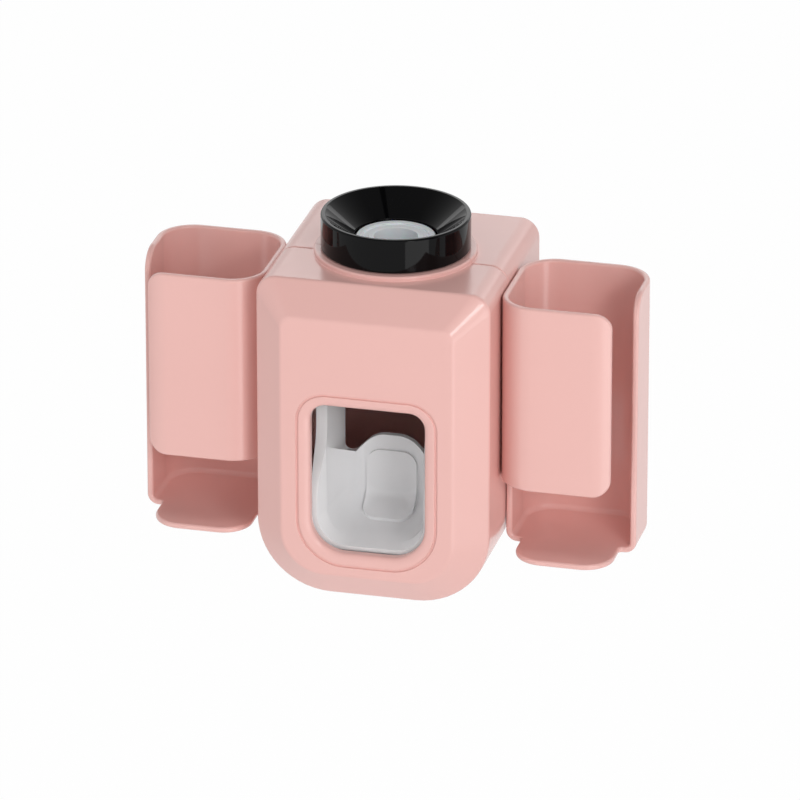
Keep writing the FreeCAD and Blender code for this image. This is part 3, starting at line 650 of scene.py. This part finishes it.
@dataclass
class BodyShell:
    """The bevelled front cover and the rear housing behind the seam."""

    half_width: float = 47.5
    height: float = 134.0
    depth: float = 95.6
    seam: float = 42.6
    seam_gap: float = 0.3
    wall: float = 2.4
    base_radius: float = 30.0
    top_radius: float = 8.0
    bevel_inset: float = 12.5
    bevel_depth: float = 10.8
    face_radius: float = 5.0
    face_fillet: float = 2.5
    bevel_fillet: float = 2.0
    window_half: float = 23.35
    window_low: float = 21.7
    window_high: float = 84.7
    window_low_radius: float = 14.0
    window_high_radius: float = 6.5
    face_land: float = 1.6
    least_radius: float = 0.6
    rim_width: float = 4.4
    rim_depth: float = 2.3
    rim_steps: int = 9
    groove_width: float = 1.1
    groove_depth: float = 0.7
    groove_lean: float = 0.12
    groove_land: float = 0.6
    jamb_depth: float = 4.6
    jamb_width: float = 5.2
    lip_gap: float = 0.25
    lip_thick: float = 1.4
    lip_length: float = 4.0
    lip_root: float = 2.2
    notch_half: float = 27.0
    notch_gap: float = 0.02
    boss_radius: float = 32.5
    boss_height: float = 2.0
    boss_fillet: float = 0.8
    boss_cove: float = 0.3
    boss_lift: float = 0.02
    boss_skirt: float = 0.3
    boss_sink: float = 0.6
    hole_radius: float = 23.6
    hole_overrun: float = 3.0
    recess: float = 4.0
    panel_inset: float = 40.0
    edge: float = 0.6
    overrun: float = 1.0
    slot_reach: float = 5.0
    slot_span: Pair = (46.9, 56.1)
    slot_rise: Pair = (-0.3, 10.1)
    hook_heights: Pair = (48.0, 96.0)
    keyhole_aside: float = 14.0
    keyhole_heights: Pair = (80.0, 92.0)
    entry_radius: float = 5.8
    stud_radius: float = 3.3
    post_aside: float = 26.0
    post_heights: Pair = (80.0, 112.0)
    post_span: Pair = (64.5, 90.0)
    post_radius: float = 4.0
    post_bore: float = 1.6
    post_steps: int = 32

    def body_rows(self, profile: Array, slope: float, high: float) -> Array:
        """Ring table for lines drawn by their inset from the body's outline.

        Args:
            profile: inset and depth of each line.
            slope: how much the top corners' radius drops for each millimetre of inset.
            high: the top corners' radius at no inset.

        Returns:
            Rows for upright_rings().
        """
        inset, depth = profile.T
        top = np.maximum(high - slope * inset, self.least_radius)
        low = np.maximum(self.base_radius - inset, self.least_radius)
        return joined(self.half_width - inset, inset, self.height - inset, low, top, depth)

    def window_rows(self, profile: Array) -> Array:
        """Ring table for lines drawn by their outset from the window's outline."""
        outset, depth = profile.T
        return joined(
            self.window_half + outset, self.window_low - outset, self.window_high + outset,
            self.window_low_radius + outset, self.window_high_radius + outset, depth,
        )

    def cover(self) -> Skin:
        """Cover's skin: one profile carried round the window and the body at once.

        The profile runs from the window's jamb over the rolled rim, the flat face, the bevel and
        the side to the seam, round the lip and back along the inner wall. Each of its points is a
        rounded rectangle, so the skin is a ring.

        Returns:
            The closed surface.
        """
        wall, seam, inset, depth = self.wall, self.seam, self.bevel_inset, self.bevel_depth
        angle = math.atan2(depth, inset)
        face_in = inset + wall * math.tan(angle / 2)
        side_in = depth + wall * math.tan((math.pi / 2 - angle) / 2)
        drop = (self.top_radius - self.face_radius) / inset
        rim, floor, lean, land = self.rim_width, self.groove_depth, self.groove_lean, self.groove_land
        turn = np.linspace(math.pi / 2, 0, self.rim_steps)
        roll = joined(rim * (1 - np.sin(turn)), self.rim_depth * (1 - np.cos(turn)))
        far = rim + self.groove_width
        groove = filleted([
            (rim - land, 0, 0), (rim, 0, 0.2), (rim + lean, floor, 0.1), (far - lean, floor, 0.1),
            (far, 0, 0.2), (far + land, 0, 0),
        ], steps=3)
        window = self.window_rows(np.vstack([[[0, self.jamb_depth]], roll[:-1], groove[1:]]))
        back, tip, root = seam - self.seam_gap / 2, seam + self.lip_length, seam - self.lip_root
        lip_out = wall + self.lip_gap
        lip_in = lip_out + self.lip_thick
        outside = filleted([
            (inset + self.face_land, 0, 0), (inset, 0, self.face_fillet), (0, depth, self.bevel_fillet),
            (0, back, self.edge), (lip_out, back, 0), (lip_out, tip, 0.4), (lip_in, tip, 0.4),
            (lip_in, root, 0),
        ])
        inner_top = self.top_radius - wall
        inner_drop = (inner_top - self.face_radius) / (face_in - wall)
        rows = [
            window,
            self.body_rows(outside, drop, self.top_radius),
            self.body_rows(np.array([[wall, root], [wall, side_in]]), 0, inner_top),
            self.body_rows(np.array([[face_in, wall]]), inner_drop, inner_top + inner_drop * wall),
            self.window_rows(np.array([[self.jamb_width, wall], [self.jamb_width, self.jamb_depth]])),
        ]
        return woven(upright_rings(np.vstack(rows)), ring=True)

    def housing(self) -> Skin:
        """Housing's skin: a profile from the middle of the back panel round the walls and in again.

        Returns:
            The closed surface, with a flat face at each end of the stack.
        """
        front, panel = self.seam + self.seam_gap / 2, self.depth - self.recess
        inner, wall, centre = panel - self.wall, self.wall, self.panel_inset
        profile = filleted([
            (centre, panel, 0), (wall, panel, 0.4), (wall, self.depth, 0.4), (0, self.depth, 0.8),
            (0, front, self.edge), (wall, front, self.edge), (wall, inner, 0.8), (centre, inner, 0),
        ])
        return woven(upright_rings(self.body_rows(profile, 1.0, self.top_radius)))

    def boss(self, behind: bool) -> Skin:
        """Half of the round boss, up to the seam's plane.

        A profile of radius and height goes round the collar's axis. At radius r the arc starts and
        ends where the sine of the turn is the plane's distance over r, so both ends are flat.

        Args:
            behind: makes the half behind the seam.

        Returns:
            The closed surface.
        """
        top, roof = self.height + self.boss_height, self.height - self.wall
        rim, low = self.boss_radius, self.height + self.boss_lift
        skirt = rim + self.boss_cove + self.boss_skirt
        profile = filleted([
            (self.hole_radius, roof, 0), (self.hole_radius, top, 0.5), (rim, top, self.boss_fillet),
            (rim, low, self.boss_cove), (skirt, low, 0), (skirt, self.height - self.boss_sink, 0),
            (rim, roof, 0),
        ], closed=True)
        radius, height = profile.T
        plane = self.seam + (1 if behind else -1) * self.seam_gap / 2 - COLLAR_DEPTH
        start = np.arcsin(plane / radius)
        span = math.pi - 2 * start if behind else -math.pi - 2 * start
        turn = start + span * np.linspace(0, 1, TURN_STEPS // 2 + 1)[:, None]
        return woven(joined(radius * np.cos(turn), COLLAR_DEPTH + radius * np.sin(turn), height))

    def neck_hole(self) -> Skin:
        """The hole for the collar's neck."""
        low, high = self.height - self.wall - self.hole_overrun, self.height + self.hole_overrun
        return bar(self.hole_radius, (0, COLLAR_DEPTH, low), (0, COLLAR_DEPTH, high))

    def hook_slots(self) -> list[Skin]:
        """The slots in the side walls that take the cups' hooks.

        Returns:
            Two blocks for each side.
        """
        near, far = self.half_width - self.slot_reach, self.half_width + self.overrun
        front, back = self.slot_span
        low, high = self.slot_rise
        return [
            block((a, front, z + low), (b, back, z + high))
            for a, b in ((-far, -near), (near, far)) for z in self.hook_heights
        ]

    def keyholes(self) -> list[Skin]:
        """The round entries and the slots above them, in the back panel.

        Returns:
            An entry, a slot and its round end for each stud.
        """
        back = self.depth - self.recess + self.overrun
        front = self.depth - self.recess - self.wall - self.overrun
        r, (low, high) = self.stud_radius, self.keyhole_heights
        cuts = []
        for x in (-self.keyhole_aside, self.keyhole_aside):
            cuts.append(bar(self.entry_radius, (x, front, low), (x, back, low)))
            cuts.append(block((x - r, front, low), (x + r, back, high)))
            cuts.append(bar(r, (x, front, high), (x, back, high)))
        return cuts

    def posts(self) -> Skin:
        """Four screw posts: a ring profile turned about an upright axis, then laid back.

        Returns:
            The four closed rings.
        """
        bore, wide, (front, back) = self.post_bore, self.post_radius, self.post_span
        profile = filleted([(bore, front, 0), (wide, front, 0.3), (wide, back, 0), (bore, back, 0)], True)
        upright = turned(profile, (0, 0), self.post_steps)
        points, faces = upright.points[:, [0, 2, 1]], [face[::-1] for face in upright.faces]
        made = Skin(np.empty((0, 3)), [])
        for x in (-self.post_aside, self.post_aside):
            for z in self.post_heights:
                made += Skin(points + [x, 0, z], faces)
        return made

    def build(self) -> list[Piece]:
        """Builds and dresses the cover, the housing, its posts and both halves of the boss.

        Returns:
            The pieces.
        """
        roof, half = self.height - self.wall, self.notch_half
        start = self.seam - self.seam_gap / 2 + self.notch_gap
        end = self.seam + self.lip_length + self.overrun
        notch = block((-half, start, roof - self.top_radius), (half, end, roof))
        cover = object_of("cover_shell", self.cover())
        carved(cover, [self.neck_hole(), notch])
        housing = object_of("housing_shell", self.housing())
        carved(housing, [self.neck_hole(), *self.hook_slots(), *self.keyholes()])
        posts = object_of("housing_posts", self.posts())
        front_boss = object_of("cover_boss", self.boss(False))
        rear_boss = object_of("housing_boss", self.boss(True))
        for piece in (cover, front_boss):
            place(piece, "cover", PINK_ABS, "front_cover")
        for piece in (housing, posts, rear_boss):
            place(piece, "housing", PINK_ABS, "rear_housing")
        return [cover, housing, posts, front_boss, rear_boss]


# Inlet


@dataclass
class Inlet:
    """The black funnel collar and the silicone seat inside it."""

    collar_base: float = 136.3
    collar_top: float = 150.4
    collar_radius: float = 29.9
    neck_radius: float = 21.2
    bore: float = 16.6
    neck_foot: float = 123.3
    funnel_depth: float = 9.3
    lip_width: float = 1.8
    edge: float = 0.8
    recess_radius: float = 9.7
    recess_top: float = 122.5
    seat_radius: float = 15.9
    seat_top: float = 140.8
    flange_radius: float = 20.4
    flange_span: Pair = (121.0, 123.0)
    socket_radius: float = 8.7
    socket_depth: float = 12.6
    feed_radius: float = 4.0
    groove_in: float = 11.0
    groove_out: float = 13.2
    groove_depth: float = 0.9

    def collar(self) -> Skin:
        """Collar: a closed ring profile turned about the upright axis.

        Returns:
            The closed ring.
        """
        e, out, top = self.edge, self.collar_radius, self.collar_top
        profile = filleted([
            (self.bore, self.neck_foot, e / 2), (self.neck_radius, self.neck_foot, e / 2),
            (self.neck_radius, self.collar_base, 0), (out, self.collar_base, e), (out, top, e),
            (out - self.lip_width, top, e), (self.bore, top - self.funnel_depth, e),
        ], closed=True)
        return turned(profile, (0, COLLAR_DEPTH), TURN_STEPS * 3 // 2)

    def seat(self) -> Skin:
        """Seat: a closed ring profile with a groove and a socket, turned about the same axis.

        Returns:
            The closed ring.
        """
        top, wide, (low, high) = self.seat_top, self.flange_radius, self.flange_span
        floor, groove = top - self.socket_depth, top - self.groove_depth
        inner_top = top - self.groove_depth / 4
        profile = filleted([
            (self.recess_radius, low, 0), (wide, low, 0.3), (wide, high, 0.3),
            (self.seat_radius, high, 0.3), (self.seat_radius, top, 0.7), (self.groove_out, top, 0.35),
            (self.groove_out, groove, 0.25), (self.groove_in, groove, 0.25),
            (self.groove_in, inner_top, 0.3), (self.socket_radius, inner_top, 0.4),
            (self.socket_radius, floor, 0.6), (self.feed_radius, floor, 0.4),
            (self.feed_radius, self.recess_top, 0), (self.recess_radius, self.recess_top, 0),
        ], closed=True)
        return turned(profile, (0, COLLAR_DEPTH))

    def build(self) -> list[Piece]:
        """Builds and dresses the collar and the seat.

        Returns:
            The pieces.
        """
        collar = object_of("funnel_collar", self.collar())
        seat = object_of("ringed_seat", self.seat())
        place(collar, "collar", BLACK_ABS, "tube_collar")
        place(seat, "housing", SILICONE, "tube_seat")
        return [collar, seat]


# Pump


@dataclass
class Pump:
    """The silicone bulb and its springs, built in one fixed shape; on the real dispenser they change shape
    when the lever is pushed.
    """

    top: float = 119.0
    foot: float = 79.4
    nozzle_depth: float = 43.0
    radius: float = 11.6
    wall: float = 1.6
    mouth: float = 7.6
    flange_radius: float = 20.4
    flange_top: float = 121.0
    pivot_depth: float = 35.0
    pivot_height: float = 107.0
    coil_radius: float = 5.0
    wire: float = 0.9
    wire_crease: float = 60.0
    pitch: float = 1.4
    leg: float = 15.0
    turns: float = 3.25
    first_x: float = 32.5
    side_gap: float = 0.25
    held_x: float = 30.0
    carried_x: float = 26.9
    rest_depth: float = 54.2
    rest_height: float = 90.0
    bulb_loops: int = 40
    round_steps: int = 96
    coil_loops: int = 157
    leg_loops: int = 8
    height_share: tuple[float, ...] = (0.0, 0.22, 0.53, 0.79, 1.0)
    offset_share: tuple[float, ...] = (0.0, 0.0, 0.1, 0.49, 1.0)
    radius_share: tuple[float, ...] = (1.0, 0.98, 0.9, 0.74, 0.56)

    def bulb(self) -> Skin:
        """Bulb: circles on a bent axis, up the outside and down the inside of the wall.

        Height runs from top to foot. The axis' offset and the radius are polynomials of the fourth
        degree, fitted to shares of their full values at five heights, and each circle is its
        centre plus radius times cosine and sine.

        Returns:
            The closed surface.
        """
        share, degree = np.linspace(0, 1, self.bulb_loops), len(self.height_share) - 1
        offset = np.interp(share, self.height_share, self.offset_share)
        offset = np.polyval(np.polyfit(share, offset, degree), share)
        scale = np.polyval(np.polyfit(self.height_share, self.radius_share, degree), share)
        z = self.top + (self.foot - self.top) * share
        y = COLLAR_DEPTH + (self.nozzle_depth - COLLAR_DEPTH) * offset
        outer = self.radius * scale
        z, y = np.append(z, z[::-1])[:, None], np.append(y, y[::-1])[:, None]
        r = np.append(outer, (outer - self.wall)[::-1])[:, None]
        turn = np.linspace(0, TAU, self.round_steps, endpoint=False)
        return woven(joined(r * np.cos(turn), y + r * np.sin(turn), z), ring=True)

    def flange(self) -> Skin:
        """Flange: a flat ring turned about the collar's axis."""
        profile = filleted([
            (self.mouth, self.top, 0), (self.flange_radius, self.top, 0.3),
            (self.flange_radius, self.flange_top, 0.3), (self.mouth, self.flange_top, 0.3),
        ], closed=True)
        return turned(profile, (0, COLLAR_DEPTH), self.round_steps)

    def spring(self) -> Skin:
        """Spring: a straight leg, a helix and a straight leg, with a round wire.

        On the helix the turn grows evenly while X falls by the pitch each turn; depth and height
        are the axis plus radius times cosine and sine. The legs run on along its end tangents.

        Returns:
            The closed tube.
        """
        lean = self.leg * self.pitch / (TAU * self.coil_radius)
        start = self.first_x - self.side_gap - self.wire / 2 - lean
        turn = np.linspace(0, self.turns, self.coil_loops)
        angle = math.pi / 2 + TAU * turn
        ray = joined(0.0, np.cos(angle), np.sin(angle))
        centre = np.array([0, self.pivot_depth, self.pivot_height])
        coil = centre + ray * self.coil_radius + np.outer(start - self.pitch * turn, [1, 0, 0])
        along = unit(joined(
            -self.pitch / TAU, -self.coil_radius * np.sin(angle), self.coil_radius * np.cos(angle)
        ))
        reach = np.linspace(self.leg, 0, self.leg_loops, endpoint=False)[:, None]
        line = np.vstack([coil[0] - along[0] * reach, coil, coil[-1] + along[-1] * reach[::-1]])
        side, tangent = (
            np.vstack([np.tile(v[0], (self.leg_loops, 1)), v, np.tile(v[-1], (self.leg_loops, 1))])
            for v in (ray, along)
        )
        return swept(line, side, np.cross(tangent, side), np.full(len(line), self.wire / 2))

    def build(self) -> list[Piece]:
        """Builds and dresses the bulb, its flange and both springs.

        Returns:
            The pieces.
        """
        bulb = object_of("squeeze_bulb", self.bulb())
        flange = object_of("bulb_flange", self.flange())
        for piece in (bulb, flange):
            place(piece, "housing", SILICONE, "squeeze_chamber")
        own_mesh(bulb)
        pieces = [bulb, flange]
        skin = self.spring()
        for name, form, side in (("right_spring", skin, 1), ("left_spring", skin.mirrored(), -1)):
            piece = object_of(name + "_wire", form)
            finish_normals(piece, self.wire_crease)
            WIRE_STEEL.dress(piece)
            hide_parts(name)
            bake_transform(piece)
            log.info("%s winds between housing and lever", piece.name)
            pieces.append(piece)
        return pieces


# Cups and lever


@dataclass
class Mouldings:
    """One-shot mouldings whose cut outlines come from their solids: cups, lever and nozzle.

    The cups' solids carry their own round edges. The lever's and the nozzle's are rounded here.
    """

    cup_crease: float = 50.0
    lever_edge: float = 0.6
    nozzle_edge: float = 0.25

    def build(self) -> list[Piece]:
        """Builds and dresses both cups, the lever and the nozzle.

        Returns:
            The pieces.
        """
        plan = (
            ("right_holder", "right_cup_moulding", "right_cup", "pink_shell", PINK_ABS, 0.0),
            ("left_holder", "left_cup_moulding", "left_cup", "pink_shell", PINK_ABS, 0.0),
            ("push_lever", "lever_moulding", "lever", "white_gloss", WHITE_ABS, self.lever_edge),
            ("outlet_nozzle", "duckbill_nozzle", "housing", "white_silicone", SILICONE, self.nozzle_edge),
        )
        pieces = []
        for node, name, body, slot, finish, edge in plan:
            piece = moulded_copy(node, name, edge)
            pieces.append(place(piece, body, finish, node, CREASE if edge else self.cup_crease))
        return pieces


@dataclass
class WallMount:
    """The foam pad behind the hanger plate."""

    half_width: float = 33.0
    low: float = 27.0
    high: float = 107.0
    radius: float = 8.0
    thick: float = 1.0
    edge: float = 0.25
    face_inset: float = 5.0

    def pad(self) -> Skin:
        """Pad: rounded rectangles from its front face to the wall, with its edge drawn in a little.

        Returns:
            The closed surface.
        """
        front = WALL_PLANE - self.thick
        inset, depth = filleted([
            (self.face_inset, front, 0), (0, front, self.edge),
            (0, WALL_PLANE, self.edge), (self.face_inset, WALL_PLANE, 0),
        ]).T
        radius = self.radius - inset
        return woven(upright_rings(joined(
            self.half_width - inset, self.low + inset, self.high - inset, radius, radius, depth,
        )))

    def build(self) -> list[Piece]:
        """Builds and dresses the pad."""
        pad = object_of("foam_tape_pad", self.pad())
        return [place(pad, "wall_mount", FOAM, "wall_pad")]


CAD_FINISHES: dict[str, Finish] = {
    "wall_plate": GREY_ABS,
    "core_frame": FRAME_ABS,
    "nozzle_ring": FRAME_ABS,
    "presser_pad": FRAME_ABS,
    "inlet_valve": SILICONE,
    "core_screws": ZINC_STEEL,
    "pin_clips": ZINC_STEEL,
    "right_pivot_pin": PIN_STEEL,
    "left_pivot_pin": PIN_STEEL,
    "lever_bushes": ACETAL,
    "stop_bumpers": RUBBER,
}


def dress_cad_nodes() -> None:
    """Gives every CAD node that stays in view its finish."""
    for name, finish in CAD_FINISHES.items():
        finish.dress(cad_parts[name])
        log.info("%s keeps its solid, %s", name, finish.name)


# Studio

WHITE = linear("FFFFFF")


@dataclass(frozen=True)
class SoftBox:
    """A soft light: where it stands, its size, its share of full exposure and whether it is mirrored."""

    name: str
    azimuth: float
    elevation: float
    distance: float
    size: Pair
    share: float
    mirrored: bool = True


@dataclass
class Studio:
    """Pale floor, soft light and the camera of the product shot."""

    azimuth: float = 14.15
    elevation: float = 23.2
    distance: float = 3.32
    lens: float = 373.7
    target: Triple = (0.0, -0.051, -0.007)
    aside: float = 0.00238
    above: float = 0.01005
    floor_height: float = -1.1
    floor_half: float = 9.0
    floor_glow: float = 0.985
    horizon_fill: float = 0.84
    zenith_fill: float = 0.2
    ceiling_rise: Pair = (0.45, 0.85)
    ceiling_gloss: float = 0.35
    gap_azimuth: float = 72.0
    gap_half: float = 8.0
    lights: tuple[SoftBox, ...] = (
        SoftBox("key_softbox", 36.0, 18.0, 2.4, (1.0, 1.0), 0.16, False),
        SoftBox("glint_softbox", 37.0, 22.5, 2.4, (0.42, 0.42), 0.09),
        SoftBox("right_softbox", 46.0, -14.0, 2.4, (1.5, 1.5), 0.22),
        SoftBox("left_softbox", -46.0, -10.0, 2.4, (1.2, 1.5), 0.15, False),
        SoftBox("top_softbox", 20.0, 74.0, 2.2, (0.6, 0.6), 0.12, False),
        SoftBox("back_softbox", 194.0, 24.0, 2.4, (3.4, 0.4), 0.1),
    )

    @staticmethod
    def toward(azimuth: float, elevation: float) -> Vector:
        """Unit vector from the object to a place seen at these angles.

        Args:
            azimuth: degrees to the right of straight before the object.
            elevation: degrees above level.

        Returns:
            The vector.
        """
        a, e = math.radians(azimuth), math.radians(elevation)
        return Vector((math.sin(a) * math.cos(e), -math.cos(a) * math.cos(e), math.sin(e)))

    def camera(self) -> None:
        """Places the long-lens camera at the photograph's angle and framing."""
        ray = self.toward(self.azimuth, self.elevation)
        turn = math.radians(self.azimuth)
        right = Vector((math.cos(turn), math.sin(turn), 0))
        up = ray.cross(right)
        data = bpy.data.cameras.new("product_camera")
        data.lens = self.lens
        data.sensor_width = 36.0
        data.clip_end = 30.0
        made = bpy.data.objects.new("product_camera", data)
        made.location = Vector(self.target) + ray * self.distance + right * self.aside + up * self.above
        made.rotation_euler = (-ray).to_track_quat("-Z", "Y").to_euler()
        bpy.context.scene.collection.objects.link(made)
        bpy.context.scene.camera = made

    def softbox(self, light: SoftBox) -> None:
        """Adds a soft light.

        A surface that faces it at the object gets an irradiance of pi times the share, which takes
        a power of that times pi and the distance squared.

        Args:
            light: what it is like and where it stands.
        """
        data = bpy.data.lights.new(light.name, "AREA")
        data.shape = "RECTANGLE"
        data.size, data.size_y = light.size
        data.energy = math.pi * light.distance ** 2 * math.pi * light.share
        made = bpy.data.objects.new(light.name, data)
        ray = self.toward(light.azimuth, light.elevation)
        made.location = ray * light.distance
        made.rotation_euler = ray.to_track_quat("Z", "Y").to_euler()
        made.visible_glossy = light.mirrored
        bpy.context.scene.collection.objects.link(made)

    @staticmethod
    def seen_directly(tree: Tree) -> Node:
        """Adds a value of one for camera, glossy and transmission rays, and none for the rest.

        Args:
            tree: the node tree.

        Returns:
            The node that gives the value.
        """
        path = add_node(tree, "ShaderNodeLightPath")
        mirror = math_node(tree, "MAXIMUM", (path, "Is Camera Ray"), (path, "Is Glossy Ray"))
        return math_node(tree, "MAXIMUM", (mirror, 0), (path, "Is Transmission Ray"))

    def world(self) -> None:
        """White to the eye and in reflections, and for the rest a fill that dims to the zenith.

        The fill's strength goes evenly with the direction's height, from the horizon's value to
        the zenith's. The white dims to the ceiling's share high up, and reflections also show a
        dark gap beside the key light.
        """
        world = bpy.data.worlds.new("studio_air")
        world.use_nodes = True
        tree = world.node_tree
        tree.nodes.clear()
        where = add_node(tree, "ShaderNodeTexCoord")
        axes = add_node(tree, "ShaderNodeSeparateXYZ", links={0: (where, "Generated")})
        strength = add_node(
            tree, "ShaderNodeMapRange", {3: self.horizon_fill, 4: self.zenith_fill}, {0: (axes, 2)}
        )
        fill = add_node(tree, "ShaderNodeBackground", {"Color": WHITE}, {"Strength": (strength, 0)})
        ahead = math_node(tree, "MULTIPLY", (axes, 1), -1.0)
        azimuth = math_node(tree, "ARCTAN2", (axes, 0), (ahead, 0))
        middle, half = math.radians(self.gap_azimuth), math.radians(self.gap_half)
        gap = math_node(tree, "COMPARE", (azimuth, 0), middle, half)
        path = add_node(tree, "ShaderNodeLightPath")
        dark = math_node(tree, "MULTIPLY", (gap, 0), (path, "Is Glossy Ray"))
        light = math_node(tree, "SUBTRACT", 1.0, (dark, 0))
        low, high = self.ceiling_rise
        ceiling = add_node(
            tree, "ShaderNodeMapRange", {1: low, 2: high, 3: 1.0, 4: self.ceiling_gloss}, {0: (axes, 2)}
        )
        level = math_node(tree, "MULTIPLY", (light, 0), (ceiling, 0))
        white = add_node(tree, "ShaderNodeBackground", {"Color": WHITE}, {"Strength": (level, 0)})
        chosen = add_node(
            tree, "ShaderNodeMixShader",
            links={0: (self.seen_directly(tree), 0), 1: (fill, 0), 2: (white, 0)},
        )
        add_node(tree, "ShaderNodeOutputWorld", links={"Surface": (chosen, 0)})
        bpy.context.scene.world = world

    def floor(self) -> None:
        """Pale sweep under the object: lit as paper, but mostly white to the eye, with its shadow."""
        mesh = bpy.data.meshes.new("studio_floor")
        half, z = self.floor_half, self.floor_height
        corners = [(-half, -half, z), (half, -half, z), (half, half, z), (-half, half, z)]
        mesh.from_pydata(corners, [], [(0, 1, 2, 3)])
        made = bpy.data.objects.new("studio_floor", mesh)
        bpy.context.scene.collection.objects.link(made)
        paper = bpy.data.materials.new("paper_sweep_white")
        paper.use_nodes = True
        tree = paper.node_tree
        tree.nodes.clear()
        where = add_node(tree, "ShaderNodeTexCoord")
        fibre = add_node(
            tree, "ShaderNodeTexNoise", {"Scale": 40.0, "Detail": 4.0}, {"Vector": (where, "Object")}
        )
        greys = {6: linear("F2F2F2"), 7: linear("F6F6F6")}
        tone = add_node(tree, "ShaderNodeMix", greys, {0: (fibre, 0)}, data_type="RGBA")
        lit = add_node(tree, "ShaderNodeBsdfDiffuse", links={"Color": (tone, 2)})
        glow = add_node(tree, "ShaderNodeEmission", {"Color": WHITE, "Strength": 1.0})
        share = math_node(tree, "MULTIPLY", (self.seen_directly(tree), 0), self.floor_glow)
        chosen = add_node(tree, "ShaderNodeMixShader", links={0: (share, 0), 1: (lit, 0), 2: (glow, 0)})
        add_node(tree, "ShaderNodeOutputMaterial", links={"Surface": (chosen, 0)})
        mesh.materials.append(paper)

    def build(self) -> None:
        """Sets up the camera, the light, the floor and the view transform."""
        self.camera()
        self.world()
        self.floor()
        for light in self.lights:
            self.softbox(light)
        bpy.context.scene.view_settings.view_transform = "Standard"


def main() -> None:
    """Builds the studio and every sub-assembly in order."""
    logging.basicConfig(level=logging.INFO, format="%(name)s: %(message)s")
    Studio().build()
    pieces: list[Piece] = []
    for part in (BodyShell(), Inlet(), Pump(), Mouldings(), WallMount()):
        made = part.build()
        log.info("%s: %d pieces", type(part).__name__, len(made))
        pieces.extend(made)
    dress_cad_nodes()
    bpy.context.view_layer.update()
    log.info("%d pieces in all", len(pieces))


if __name__ == "__main__":
    main()
